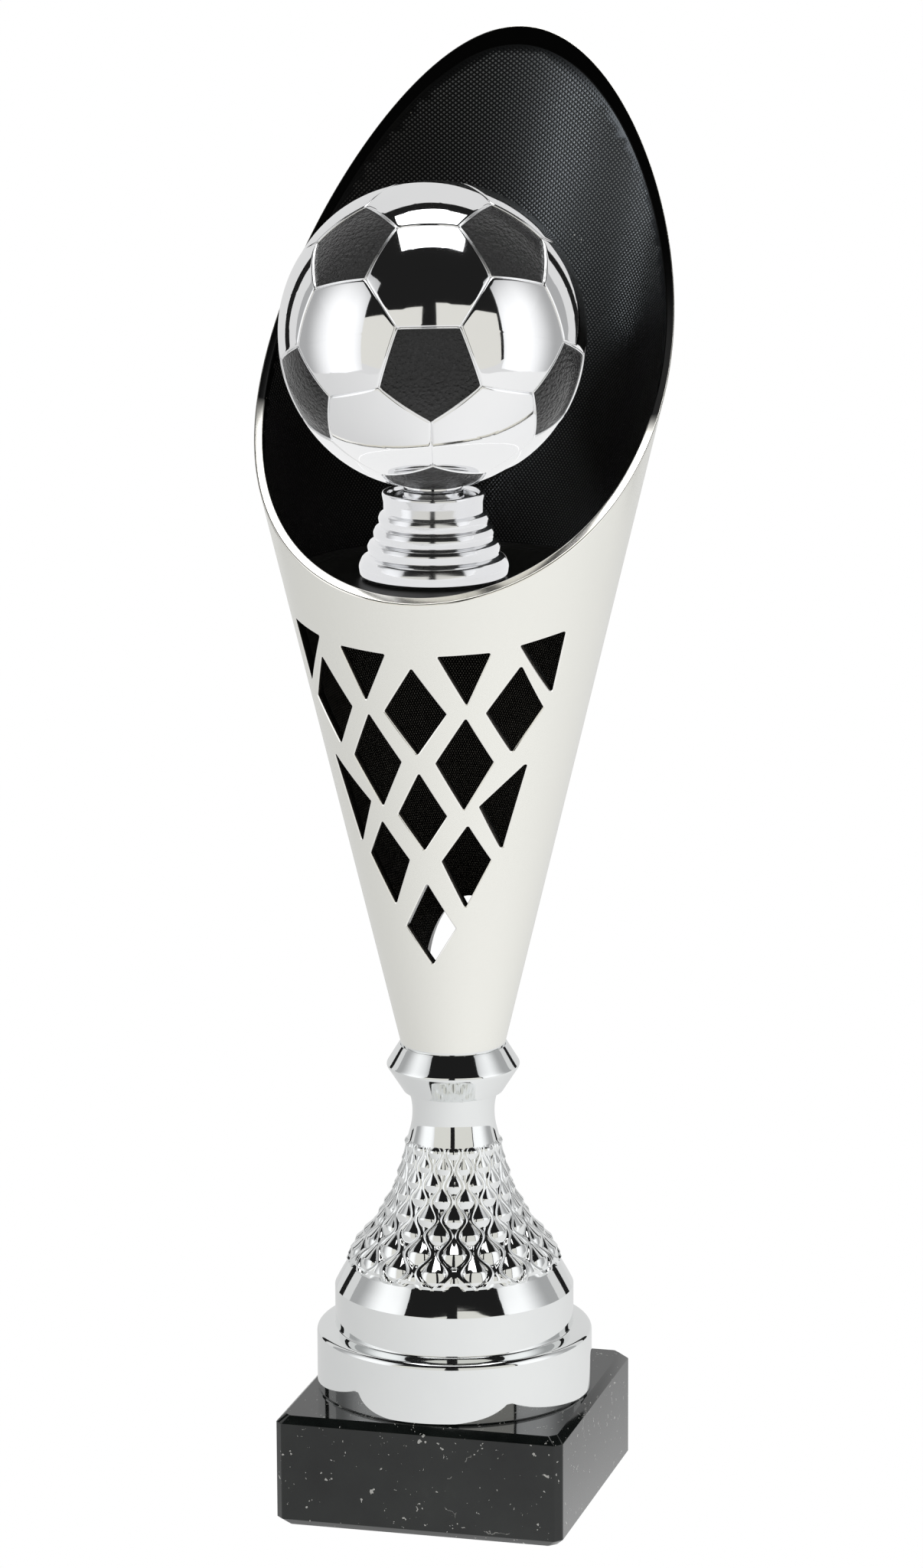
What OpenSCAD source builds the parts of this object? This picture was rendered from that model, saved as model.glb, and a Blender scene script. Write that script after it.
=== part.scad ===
// Figure trophy: a chrome football standing in a slanted, metallised bowl whose front is pierced
// by a diamond lattice, on a moulded chrome pedestal and a polished marble block.
// Millimetres, +Z up, the lattice facing -Y. The modules are drawn about the block's axis, and
// on_origin() moves them so that the origin is the bottom centre of the whole trophy's box.

/* [Marble block] */
// Width and depth of the square block
block_w = 80; // [78:1:120]
// Height of the block
block_h = 31; // [20:1:60]
// Flat bevel along every edge of the block
block_bevel = 2; // [0.5:0.25:4]
// Diameter of the round recess under the block
recess_d = 24; // [22:1:34]
// Depth of the recess under the block
recess_depth = 9; // [8:0.5:14]

/* [Tie rod and its fixings] */
// Diameter of the threaded rod that holds block, pedestal and bowl together
rod_d = 6; // [4:0.5:7]
// How far a rod or screw hole is wider than what passes through it
hole_clear = 0.6; // [0.3:0.1:1]
// Width across the flats of the two nuts
nut_flats = 10; // [9:0.5:11]
// Thickness of the two nuts
nut_h = 5; // [3:0.5:6]
// Outer diameter of the washer under the block
base_washer_d = 20; // [15:1:21.5]
// Outer diameter of the washer inside the bowl
bowl_washer_d = 16; // [14:0.5:18]
// Thickness of every washer
washer_h = 1.6; // [1:0.2:2.4]
// How far the rod shows past each nut
rod_past = 1.4; // [0.4:0.2:2]

/* [Pedestal] */
// Radius of the foot ring
ring_r = 37.6; // [35:0.2:38.8]
// Height of the foot ring
ring_h = 17.5; // [10:0.5:26]
// Rounding of the ring's upper edge
ring_round = 2; // [0.5:0.25:3]
// Radius of the drum above the ring
drum_r = 32.6; // [30.5:0.2:33.5]
// Height of the drum
drum_h = 11.3; // [6:0.1:20]
// Height of the rounded shoulder above the drum
shoulder_h = 7.8; // [6:0.1:9.6]
// Radius of the flare where it leaves the shoulder
flare_r = 27.6; // [26.6:0.2:29.2]
// Height of the flared part that carries the drops
flare_h = 34.2; // [30:0.2:44]
// Radius at the top of the flare
neck_r = 12; // [10.8:0.1:13]
// Height of the plain band on the neck
band_h = 3.2; // [1.6:0.2:5]
// Height of the hollowed neck above the band
neck_h = 10; // [8:0.5:14]
// Radius of the collar's widest line
collar_r = 17.9; // [16.6:0.1:19]
// Height of the collar
collar_h = 13.5; // [12:0.5:15.5]
// Wall of the hollow moulding
ped_wall = 2.6; // [1.8:0.2:3.4]
// Wall of the tube that the rod runs through
tube_wall = 2.4; // [1.6:0.2:3]

/* [Drops] */
// Number of drops in each row round the flare
drop_count = 15; // [12:1:15]
// Half the width of a drop
drop_half = 2.9; // [2.7:0.1:3]
// Radius of the flat top of a drop
drop_top = 2.1; // [1.8:0.1:2.2]
// How far a drop stands out of the flare
drop_rise = 1.2; // [1:0.1:1.4]
// Length of the tail above a drop's middle
drop_tail = 6; // [5:0.5:6.5]
// Height of the lowest row above the flare's foot
drop_low = 2.4; // [2.2:0.1:3]
// Height from the lowest row to the next
drop_step = 4.8; // [4.7:0.1:5.4]

/* [Bowl] */
// Radius of the bowl's foot
foot_r = 14.3; // [14:0.1:14.8]
// Slope of the bowl's outer wall from upright, in degrees
bowl_angle = 13.5; // [13:0.1:14.2]
// Height of the rim at the front, above the foot
rim_low = 129.5; // [126:0.5:140]
// Height of the rim at the back, above the foot
rim_high = 266.3; // [240:0.5:290]
// Radius of the curve along which the rim is cut
rim_curve = 430; // [300:5:900]
// Wall at the foot
wall_low = 3.8; // [3:0.1:4.4]
// Wall at the top of the back
wall_high = 1.5; // [1:0.1:2.4]
// Thickness of the bottom that the nut clamps
bottom_h = 4; // [3:0.5:6]
// Height of the access opening in the back, above the bottom
access_h = 31.6; // [24:0.2:36]
// Half width of the access opening
access_r = 10.5; // [9:0.25:11]

/* [Lattice] */
// Height of the middle of the top row, above the bowl's foot
lattice_h = 98.9; // [97:0.1:100]
// Scale of the diamonds, 1 as in the photograph
lattice_open = 1; // [0.8:0.02:1.05]

/* [Bowl floor] */
// Height of the floor's upper face, above the bowl's foot
floor_h = 128.9; // [124:0.1:129.5]
// Thickness of the floor
floor_t = 3; // [2:0.25:4]
// Gap between the floor's edge and the bowl
floor_gap = 0.15; // [0.1:0.05:0.3]
// Height of the bead round the floor's edge
bead_h = 0.7; // [0.4:0.1:1]

/* [Ball stand] */
// Position of the stand on the floor, along X
stand_x = -3.5; // [-6:0.5:6]
// Position of the stand on the floor, along Y
stand_y = -4.5; // [-7:0.5:7]
// Radius of the stand's foot
stand_r = 20; // [19:0.25:22]
// Height of the stand
stand_h = 23; // [20:0.5:30]
// Radius of the stand's upper rim
stand_top_r = 13.6; // [12.6:0.1:14.2]
// Wall of the hollow stand
stand_wall = 2.4; // [1.6:0.2:3]
// Depth of the dish in the stand's top
dish_depth = 1.3; // [0.8:0.1:2]

/* [Ball] */
// Diameter of the ball
ball_d = 82; // [78:1:86]
// Wall of the hollow ball
ball_wall = 3; // [2:0.25:4]
// Turn of the ball about its upright axis, in degrees
ball_turn = 15.2; // [-36:0.1:36]
// Lean of the front panel below the horizon, in degrees
ball_lean = 3.6; // [0:0.1:6]
// Radius of the seams between the panels
seam_r = 0.45; // [0.3:0.05:0.7]
// Thickness of the grained panels
patch_t = 0.8; // [0.6:0.1:1.2]
// Gap round each grained panel
patch_gap = 0.25; // [0.15:0.05:0.4]
// Radius of the foot under the ball
ball_foot_r = 8; // [7:0.25:9]
// Gap between the ball's lowest point and the bottom of the dish
ball_lift = 2.2; // [1.8:0.1:3]
// Diameter of the screw that holds the ball
screw_d = 5; // [4:0.5:5.5]
// Length of thread inside the ball
screw_grip = 12; // [8:0.5:15]
// Diameter of the screw's head
screw_head_d = 9; // [8:0.5:10]
// Height of the screw's head
screw_head_h = 3.4; // [2.4:0.2:4]
// Diameter of the washer under the screw's head
screw_washer_d = 14; // [12:0.5:16]

/* [Hidden] */
// Node names

$fn = 96;
eps = 0.01;   // overcut of a subtracted shape

chrome = [0.86, 0.87, 0.88];
satin = [0.80, 0.80, 0.76];
black = [0.09, 0.09, 0.10];
steel = [0.62, 0.63, 0.65];

rod_hole_r = (rod_d + hole_clear) / 2;
screw_hole_r = (screw_d + hole_clear) / 2;

// Heights of the pedestal's parts
ring_top = block_h + ring_h;
drum_top = ring_top + drum_h;
flare_low = drum_top + shoulder_h;
flare_top = flare_low + flare_h;
band_top = flare_top + band_h;
collar_low = band_top + neck_h;
bowl_z = collar_low + collar_h;

band_r = neck_r;          // the band is as wide as the flare's top
collar_low_r = neck_r + 1.3;   // the neck meets the collar's underside here
flare_sag = 1.6;          // hollow of the flare against a straight line
neck_sag = 1.1;           // hollow of the neck
shoulder_sag = 0.8;       // bulge of the shoulder

// Bowl: outer and inner radius at a height above its foot
slope = tan(bowl_angle);
inner_slope = slope + (wall_low - wall_high) / rim_high;
function outer_r(h) = foot_r + h * slope;
function inner_r(h) = foot_r - wall_low + h * inner_slope;

// The rim is cut by a cylinder along X that passes the rim's lowest and highest point
rim_front = [-outer_r(rim_low), rim_low];
rim_back = [outer_r(rim_high), rim_high];
rim_chord = rim_back - rim_front;
rim_half = norm(rim_chord) / 2;
rim_centre = (rim_front + rim_back) / 2
  + [-rim_chord[1], rim_chord[0]] / norm(rim_chord) * sqrt(rim_curve * rim_curve - rim_half * rim_half);

// The bowl's back reaches further out than the ball and the rim do in front
back_reach = outer_r(rim_high);
front_reach = max(outer_r(rim_low), ball_d / 2 - stand_y);
origin_y = (back_reach - front_reach) / 2;

// Lattice: height of the row's middle from lattice_h, reach up, reach down, half angle, angles
rows = [
  [0, 12.7, 11.8, 12.8, [-41.4, 0, 41.4]],
  [-14.1, 12.9, 13.4, 12.8, [-20.5, 20.5]],
  [-29.2, 12.2, 10, 12.3, [0]],
  [-42.3, 10.4, 13.6, 13.6, [-22.7, 22.7]],
  [-61.8, 13, 10.7, 16.9, [0]]
];
// Cut windows at the lattice's edges: each corner is an angle and a height from lattice_h
edge_windows = [
  [[9.7, 16.2], [29.1, 17], [20.7, 2.4]],
  [[40, 18.4], [59.2, 20.7], [57.5, 3.4]],
  [[27.9, -26.7], [50.7, -15], [42.2, -39.8]]
];
lattice_depth = 4;  // the windows stop this far in front of the bowl's axis

// Ball stand: lower and upper height, radius and rounding of each ring, as shares of the foot
floor_z = bowl_z + floor_h;
stand_top = floor_z + stand_h;
stand_rings = 4;
collar_share = 0.235;     // share of the stand's height taken by its plain rim
ring_step = (stand_h * (1 - collar_share)) / stand_rings;

ball_r = ball_d / 2;
dish_z = stand_top - dish_depth;
ball_z = dish_z + ball_lift + ball_r;
pent_r = ball_r * sin(20.08);      // corner of a pentagon from its middle
seam_from = 20.08;                 // a seam starts at a pentagon's corner
seam_to = 43.36;                   // and ends at the next pentagon's corner
seam_over = 0.9;                   // and runs this far into each panel's pocket
ring_polar = 63.435;               // angle between neighbouring pentagons

// Centre of a circle of radius r through p and q, on the left of the way from p to q
function arc_centre(p, q, r) = (p + q) / 2
  + [p[1] - q[1], q[0] - p[0]] / norm(q - p) * sqrt(r * r - pow(norm(q - p) / 2, 2));
// Radius of an arc from its chord and sag
function arc_radius(p, q, sag) = pow(norm(q - p), 2) / (8 * sag) + sag / 2;

// Half section bounded by an arc that hollows the line from p up to q
module hollow_profile(p, q, sag) {
  radius = arc_radius(p, q, sag);
  difference() {
    polygon([[0, p[1]], p, q, [0, q[1]]]);
    translate(arc_centre(q, p, radius)) circle(r = radius, $fn = 180);
  }
}

// Half section bounded by an arc that swells the line from p up to q
module swollen_profile(p, q, sag) {
  radius = arc_radius(p, q, sag);
  polygon([[0, p[1]], p, q, [0, q[1]]]);
  intersection() {
    translate(arc_centre(p, q, radius)) circle(r = radius, $fn = 180);
    translate([0, p[1]]) square([p[0], q[1] - p[1]]);
  }
}

module washer(outer_d, hole_r) {
  difference() {
    cylinder(h = washer_h, d = outer_d);
    translate([0, 0, -eps]) cylinder(h = washer_h + 2 * eps, r = hole_r);
  }
}

module nut(hole_r) {
  difference() {
    intersection() {
      linear_extrude(nut_h) circle(d = nut_flats / cos(30), $fn = 6);
      // turned chamfer on both faces
      cylinder(h = nut_h, r1 = nut_flats / 2 + nut_h, r2 = nut_flats / 2 + 0.1);
      cylinder(h = nut_h, r1 = nut_flats / 2 + 0.1, r2 = nut_flats / 2 + nut_h);
    }
    translate([0, 0, -eps]) cylinder(h = nut_h + 2 * eps, r = hole_r);
  }
}

module bevelled_outline(w, d, bevel) {
  polygon([[-w / 2 + bevel, -d / 2], [w / 2 - bevel, -d / 2], [w / 2, -d / 2 + bevel],
    [w / 2, d / 2 - bevel], [w / 2 - bevel, d / 2], [-w / 2 + bevel, d / 2],
    [-w / 2, d / 2 - bevel], [-w / 2, -d / 2 + bevel]]);
}

module marble_block() {
  color(black) difference() {
    intersection() {
      linear_extrude(block_h) bevelled_outline(block_w, block_w, block_bevel);
      translate([0, block_w / 2, block_h / 2]) rotate([90, 0, 0]) linear_extrude(block_w)
        bevelled_outline(block_w, block_h, block_bevel);
      translate([-block_w / 2, 0, block_h / 2]) rotate([90, 0, 90]) linear_extrude(block_w)
        bevelled_outline(block_w, block_h, block_bevel);
    }
    translate([0, 0, -eps]) cylinder(h = recess_depth + eps, d = recess_d);
    cylinder(h = block_h + eps, r = rod_hole_r);
  }
}

base_washer_z = recess_depth - washer_h;
base_nut_z = base_washer_z - nut_h;
bowl_washer_z = bowl_z + bottom_h;
bowl_nut_z = bowl_washer_z + washer_h;

module base_washer() {
  color(steel) translate([0, 0, base_washer_z]) washer(base_washer_d, rod_hole_r);
}

module base_nut() {
  color(steel) translate([0, 0, base_nut_z]) nut(rod_d / 2);
}

module tie_rod() {
  rod_low = base_nut_z - rod_past;
  rod_high = bowl_nut_z + nut_h + rod_past;
  color(steel) translate([0, 0, rod_low]) cylinder(h = rod_high - rod_low, d = rod_d);
}

module pedestal_profile() {
  // foot ring with its rounded edge
  translate([0, block_h]) square([ring_r, ring_h - ring_round]);
  translate([0, block_h]) square([ring_r - ring_round, ring_h]);
  translate([ring_r - ring_round, ring_top - ring_round]) circle(r = ring_round, $fn = 48);
  translate([0, ring_top]) square([drum_r, drum_h]);
  swollen_profile([drum_r, drum_top], [flare_r, flare_low], shoulder_sag);
  hollow_profile([flare_r, flare_low], [neck_r, flare_top], flare_sag);
  translate([0, flare_top]) square([band_r, band_h]);
  hollow_profile([band_r, band_top], [collar_low_r, collar_low], neck_sag);
  // collar: straight underside, round above
  intersection() {
    polygon([[0, collar_low], [collar_low_r, collar_low], [collar_r + 0.6, collar_low + 6.4],
      [collar_r + 0.6, bowl_z], [0, bowl_z]]);
    translate([collar_r - 7.7, collar_low + 6.6]) circle(r = 7.7, $fn = 96);
  }
  translate([0, collar_low]) square([collar_low_r - 1, collar_h]);
}

// Half section of the hollow inside the moulding, round the rod's tube
module pedestal_hollow() {
  tube_r = rod_hole_r + tube_wall;
  polygon([
    [tube_r, block_h - 1],
    [ring_r - ped_wall, block_h - 1],
    [ring_r - ped_wall, ring_top - ped_wall],
    [drum_r - ped_wall, ring_top - ped_wall],
    [drum_r - ped_wall, drum_top - 1],
    [flare_r - ped_wall - 1, flare_low],
    [(flare_r + neck_r) / 2 - flare_sag - ped_wall - 0.5, flare_low + flare_h / 2],
    [tube_r, flare_low + flare_h * 0.8]
  ]);
}

// A drop is a low cone that stands on the flare, with a thinner cone along the flare for its tail
drop_root = 0.7;   // depth that a drop reaches into the wall
drop_spread = (drop_half - drop_top) / drop_rise;
tail_sink = 0.3;   // depth of the tail's axis below the flare
tail_r = 1.1;      // radius of the tail where it leaves the drop
tail_tip = 0.2;    // radius of the tail's end, below the flare's surface

flare_radius = arc_radius([flare_r, flare_low], [neck_r, flare_top], flare_sag);
flare_centre = arc_centre([neck_r, flare_top], [flare_r, flare_low], flare_radius);

module drop(z, turn) {
  lean = asin((flare_centre[1] - z) / flare_radius);
  rotate([0, 0, turn]) translate([0, flare_radius * cos(lean) - flare_centre[0], z])
    rotate([-lean, 0, 0]) {
      translate([0, drop_root, 0]) rotate([90, 0, 0]) cylinder(h = drop_root + drop_rise,
        r1 = drop_half + drop_root * drop_spread, r2 = drop_top);
      translate([0, tail_sink, 0]) cylinder(h = drop_tail, r1 = tail_r, r2 = tail_tip);
    }
}

// The two lowest rows, staggered; a drop of the upper row faces the camera's side
module drops() {
  pitch = 360 / drop_count;
  for (k = [0 : drop_count - 1]) {
    drop(flare_low + drop_low, (k + 0.125) * pitch);
    drop(flare_low + drop_low + drop_step, (k + 0.625) * pitch);
  }
}

module pedestal() {
  color(chrome) difference() {
    union() {
      rotate_extrude() pedestal_profile();
      drops();
    }
    rotate_extrude() {
      pedestal_hollow();
      translate([0, block_h - 1]) square([rod_hole_r, bowl_z - block_h + 2]);
    }
  }
}

// A window corner: angle from the front and height above the bowl's foot
function corner(angle, h) = [outer_r(h) * sin(angle), h];

module diamond(angle, mid, up, down, half) {
  polygon([corner(angle, mid + up * lattice_open), corner(angle + half * lattice_open, mid),
    corner(angle, mid - down * lattice_open), corner(angle - half * lattice_open, mid)]);
}

module lattice_outline() {
  for (row = rows, angle = row[4])
    diamond(angle, lattice_h + row[0], row[1], row[2], row[3]);
  for (w = edge_windows, side = [-1, 1])
    polygon([for (c = w) corner(side * c[0], lattice_h + c[1])]);
}

module access_outline() {
  // round-topped opening, drawn as half an ellipse on a short straight foot
  half_h = 17.4;
  translate([0, access_h - half_h])
    polygon(concat([[-access_r, -access_h + half_h + 1], [access_r, -access_h + half_h + 1]],
      [for (i = [0 : 24]) [access_r * cos(i * 7.5), half_h * sin(i * 7.5)]]));
}

module bowl() {
  over = 16;  // the blank reaches this far past the rim
  color(satin) translate([0, 0, bowl_z]) difference() {
    rotate([0, 0, 90]) cylinder(h = rim_high + over, r1 = foot_r, r2 = outer_r(rim_high + over));
    translate([0, 0, bottom_h]) rotate([0, 0, 90])
      cylinder(h = rim_high + over, r1 = inner_r(bottom_h), r2 = inner_r(rim_high + over + bottom_h));
    translate([0, rim_centre[0], rim_centre[1]]) rotate([0, 90, 0])
      cylinder(h = 400, r = rim_curve, center = true, $fn = 360);
    translate([0, -lattice_depth, 0]) rotate([90, 0, 0]) linear_extrude(100) lattice_outline();
    translate([0, 60, bottom_h]) rotate([90, 0, 0]) linear_extrude(60) access_outline();
    translate([0, 0, -eps]) cylinder(h = bottom_h + 2 * eps, r = rod_hole_r);
  }
}

module bowl_washer() {
  color(steel) translate([0, 0, bowl_washer_z]) washer(bowl_washer_d, rod_hole_r);
}

module bowl_nut() {
  color(steel) translate([0, 0, bowl_nut_z]) nut(rod_d / 2);
}

module bowl_floor() {
  low = floor_h - floor_t;
  color(black) translate([0, 0, bowl_z]) difference() {
    translate([0, 0, low])
      cylinder(h = floor_t + bead_h, r1 = inner_r(low) - floor_gap, r2 = inner_r(floor_h + bead_h) - floor_gap);
    // dished inside the bead
    translate([0, 0, floor_h])
      cylinder(h = bead_h + eps, r1 = inner_r(floor_h) - floor_gap - 2.4, r2 = inner_r(floor_h) - floor_gap - 1.4);
    translate([stand_x, stand_y, low - eps]) cylinder(h = floor_t + 2 * eps, r = screw_hole_r);
  }
}

module stand_profile() {
  for (i = [0 : stand_rings - 1]) {
    width = stand_r + (stand_top_r + 1 - stand_r) * i / (stand_rings - 1);
    round_r = i == 0 ? 6 : 5;
    low = i * ring_step;
    intersection() {
      translate([width - round_r, low + (i == 0 ? 2.2 : 1)]) circle(r = round_r, $fn = 72);
      translate([0, low]) square([width, ring_step]);
    }
    // core that ties this ring to the next
    translate([0, low]) square([width - round_r + 1, ring_step + 1]);
  }
  collar_foot = (stand_rings - 0.5) * ring_step;
  translate([0, collar_foot]) square([stand_top_r, stand_h - collar_foot]);
}

module ball_stand() {
  tube_r = screw_hole_r + tube_wall;
  hollow_top = stand_h - dish_depth - stand_wall;
  color(chrome) translate([stand_x, stand_y, floor_z]) rotate_extrude() difference() {
    stand_profile();
    // hollow from below, leaving the tube for the screw
    polygon([[tube_r, -1], [stand_r - stand_wall - 1.4, -1], [stand_r - stand_wall - 1.4, ring_step],
      [stand_top_r - stand_wall, hollow_top], [tube_r, hollow_top]]);
    translate([0, -1]) square([screw_hole_r, stand_h + 2]);
    translate([0, stand_h - dish_depth]) square([stand_top_r - 1.3, dish_depth + 1]);
  }
}

// Children once at each of the 12 pentagons, +Z out of the panel
module at_pentagons() {
  children();
  for (k = [0 : 4]) rotate([0, 0, -90 + 72 * k]) rotate([0, ring_polar, 0]) rotate([0, 0, -90]) children();
  for (k = [0 : 4])
    rotate([0, 0, -54 + 72 * k]) rotate([0, 180 - ring_polar, 0]) rotate([0, 0, 90]) children();
  rotate([180, 0, 0]) children();
}

// Turns the ball's panels to the front
module ball_place() {
  translate([stand_x, stand_y, ball_z]) rotate([90 + ball_lean, 0, ball_turn]) children();
}

// One seam along the great circle at angle psi from a pentagon
module seam(psi) {
  rotate([0, 0, psi]) rotate([90, 0, 0]) rotate([0, 0, 90 - seam_to - seam_over])
    rotate_extrude(angle = seam_to - seam_from + 2 * seam_over) translate([ball_r, 0]) circle(r = seam_r, $fn = 16);
}

module seams() {
  for (k = [0 : 4]) {
    seam(-90 + 72 * k);
    rotate([180, 0, 0]) seam(-90 + 72 * k);
    rotate([0, 0, -90 + 72 * k]) rotate([0, ring_polar, 0]) for (psi = [108, 36, -36]) seam(psi);
    rotate([0, 0, -54 + 72 * k]) rotate([0, 180 - ring_polar, 0]) seam(72);
  }
}

// Pentagonal prism that bounds a panel, its corners towards the neighbouring pentagons
module panel_prism(radius) {
  linear_extrude(ball_r + 2) rotate([0, 0, -90]) circle(r = radius, $fn = 5);
}

module ball() {
  boss_r = screw_hole_r + tube_wall;
  color(chrome) difference() {
    union() {
      difference() {
        translate([stand_x, stand_y, ball_z]) sphere(r = ball_r);
        ball_place() seams();
        ball_place() difference() {
          at_pentagons() panel_prism(pent_r);
          sphere(r = ball_r - patch_t - seam_r);
        }
        translate([stand_x, stand_y, ball_z]) sphere(r = ball_r - ball_wall);
      }
      // foot on the stand, and the boss that takes the screw
      translate([stand_x, stand_y, dish_z]) cylinder(h = ball_lift + ball_wall, r = ball_foot_r);
      translate([stand_x, stand_y, dish_z]) cylinder(h = screw_grip + 3, r = boss_r);
    }
    translate([stand_x, stand_y, dish_z - eps]) cylinder(h = screw_grip + 3 + 2 * eps, r = screw_d / 2 + 0.05);
  }
}

module ball_patches() {
  color(black) difference() {
    ball_place() intersection() {
      at_pentagons() panel_prism(pent_r - patch_gap);
      difference() {
        sphere(r = ball_r - seam_r);
        sphere(r = ball_r - patch_t - seam_r);
      }
    }
    translate([stand_x, stand_y, dish_z]) cylinder(h = ball_r, r = ball_foot_r + patch_gap);
  }
}

module screw_washer() {
  color(steel) translate([stand_x, stand_y, floor_z - floor_t - washer_h]) washer(screw_washer_d, screw_hole_r);
}

module ball_screw() {
  head_z = floor_z - floor_t - washer_h - screw_head_h;
  color(steel) translate([stand_x, stand_y, head_z]) difference() {
    union() {
      cylinder(h = screw_head_h, d = screw_head_d);
      cylinder(h = dish_z + screw_grip - head_z, d = screw_d);
    }
    // cross slot
    for (turn = [0, 90])
      rotate([0, 0, turn]) translate([-screw_head_d / 2 + 1.6, -0.5, -eps])
        cube([screw_head_d - 3.2, 1, 1.6]);
  }
}

module on_origin() {
  translate([0, -origin_y, 0]) children();
}

on_origin() marble_block();
on_origin() base_washer();
on_origin() base_nut();
on_origin() tie_rod();
on_origin() pedestal();
on_origin() bowl();
on_origin() bowl_washer();
on_origin() bowl_nut();
on_origin() bowl_floor();
on_origin() ball_stand();
on_origin() ball();
on_origin() ball_patches();
on_origin() screw_washer();
on_origin() ball_screw();
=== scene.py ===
import math
import bpy
import numpy as np
from mathutils import Matrix, Vector
from mathutils.bvhtree import BVHTree
from mathutils.geometry import delaunay_2d_cdt


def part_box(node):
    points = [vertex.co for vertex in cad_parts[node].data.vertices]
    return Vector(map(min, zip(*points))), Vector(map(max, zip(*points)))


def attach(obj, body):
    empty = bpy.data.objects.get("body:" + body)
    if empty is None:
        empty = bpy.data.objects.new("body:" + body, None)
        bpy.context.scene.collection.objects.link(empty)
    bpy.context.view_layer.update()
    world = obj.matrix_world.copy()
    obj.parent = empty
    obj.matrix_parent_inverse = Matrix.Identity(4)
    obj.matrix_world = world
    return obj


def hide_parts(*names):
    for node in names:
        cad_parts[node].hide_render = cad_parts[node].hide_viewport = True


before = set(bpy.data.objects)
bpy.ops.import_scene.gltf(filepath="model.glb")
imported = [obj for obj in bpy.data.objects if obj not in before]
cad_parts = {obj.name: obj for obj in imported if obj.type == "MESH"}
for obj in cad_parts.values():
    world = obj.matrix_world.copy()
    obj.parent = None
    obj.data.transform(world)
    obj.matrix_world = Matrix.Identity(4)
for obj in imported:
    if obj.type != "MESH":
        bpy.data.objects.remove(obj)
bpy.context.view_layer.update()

# Pieces are drawn in millimetres about the block's axis, heights from the shelf. The stage is in metres.
blockLow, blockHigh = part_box("marble_block")
axisPoint = np.array([(blockLow.x + blockHigh.x) / 2, (blockLow.y + blockHigh.y) / 2, 0.0])
stageCentre = Vector(axisPoint)
upright = Vector((0, 0, 1))


def toMetres(points):
    return np.asarray(points, float) * 0.001 + axisPoint


def heightsOf(node):
    # lowest and highest point of a CAD node
    low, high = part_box(node)
    return low.z * 1000, high.z * 1000


def headings(degrees):
    # level directions at an azimuth: out from the trophy, and to the right of someone there who faces it
    angle = math.radians(degrees)
    return Vector((math.sin(angle), -math.cos(angle), 0)), Vector((math.cos(angle), math.sin(angle), 0))


# camera: metres, degrees, and the lens in millimetres
camera = {
    "azimuth": 14.934, "distance": 1.71218, "height": 0.60275,
    "yaw": -0.086, "pitch": -13.245, "roll": -0.25, "lens": 150.3, "farthest": 50.0,
}
towardCamera, cameraRight = headings(camera["azimuth"])
backward, right = headings(camera["azimuth"] + camera["yaw"])
pitch, roll = math.radians(camera["pitch"]), math.radians(camera["roll"])
ahead = upright * math.sin(pitch) - backward * math.cos(pitch)
above = right.cross(ahead)
sideways = math.cos(roll) * right + math.sin(roll) * above
lift = math.cos(roll) * above - math.sin(roll) * right
aimed = Matrix((sideways, lift, -ahead)).transposed().to_4x4()
aimed.translation = stageCentre + towardCamera * camera["distance"] + upright * camera["height"]
cameraData = bpy.data.cameras.new("photoCamera")
cameraData.sensor_fit = "AUTO"
cameraData.sensor_width = 36.0
cameraData.lens = camera["lens"]
cameraData.clip_end = camera["farthest"]
photoCamera = bpy.data.objects.new("photoCamera", cameraData)
photoCamera.matrix_world = aimed
bpy.context.scene.collection.objects.link(photoCamera)
bpy.context.scene.camera = photoCamera
bpy.context.scene.view_settings.view_transform = "Standard"
print("camera placed")

# image points, in the photograph at a long side of 1568
imageWide, imageHigh = 1206 * 1568 / 2048, 1568.0
longSide = max(imageWide, imageHigh)
imagePoints = {
    "objectLeft": (255.0, None), "objectRight": (674.5, None),
    "objectTop": (None, 28.3), "objectBottom": (None, 1547.6),
    "blockTopLeft": (289.5, 1415.2), "blockTopFront": (549.5, 1436.3), "blockTopRight": (617.8, 1350.5),
    "ballLeft": (277.8, None), "ballRight": (584.1, None), "ballTop": (None, 182.0),
    "frontPatch": (429.7, 372.0), "patchUpperLeft": (395.1, 327.9), "patchUpperRight": (462.4, 327.2),
    "patchLow": (431.8, 426.2), "standLeft": (361.1, None), "standRight": (511.4, None),
    "rimLow": (None, 603.3), "windowLow": (431.7, 964.7),
    "coneFootLeft": (401.6, 1038.4), "coneFootRight": (504.9, 1044.2),
}


def finishedMesh(name):
    finished = bpy.data.objects[name].evaluated_get(bpy.context.evaluated_depsgraph_get())
    spots = [finished.matrix_world @ vertex.co for vertex in finished.data.vertices]
    return spots, [tuple(face.vertices) for face in finished.data.polygons]


# where the ray through an image point meets the piece, or its place nearest to the ray
def onSurface(point, carrier):
    x, y = imagePoints[point]
    aim = Vector((
        x - imageWide / 2 + cameraData.shift_x * longSide,
        imageHigh / 2 - y + cameraData.shift_y * longSide,
        -longSide * cameraData.lens / cameraData.sensor_width))
    ray = (photoCamera.matrix_world.to_3x3() @ aim).normalized()
    eye = photoCamera.matrix_world.translation
    spots, corners = finishedMesh(carrier)
    spot = BVHTree.FromPolygons(spots, corners).ray_cast(eye, ray)[0]
    return spot or min(spots, key=lambda s: (s - eye).cross(ray).length)


def showsAt(spots):
    toCamera = np.array(photoCamera.matrix_world.inverted())
    seen = np.column_stack([np.asarray(spots), np.ones(len(spots))]) @ toCamera.T
    reach = longSide * cameraData.lens / cameraData.sensor_width / -seen[:, 2]
    across = imageWide / 2 - cameraData.shift_x * longSide + seen[:, 0] * reach
    down = imageHigh / 2 + cameraData.shift_y * longSide - seen[:, 1] * reach
    return np.column_stack([across, down])


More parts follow.
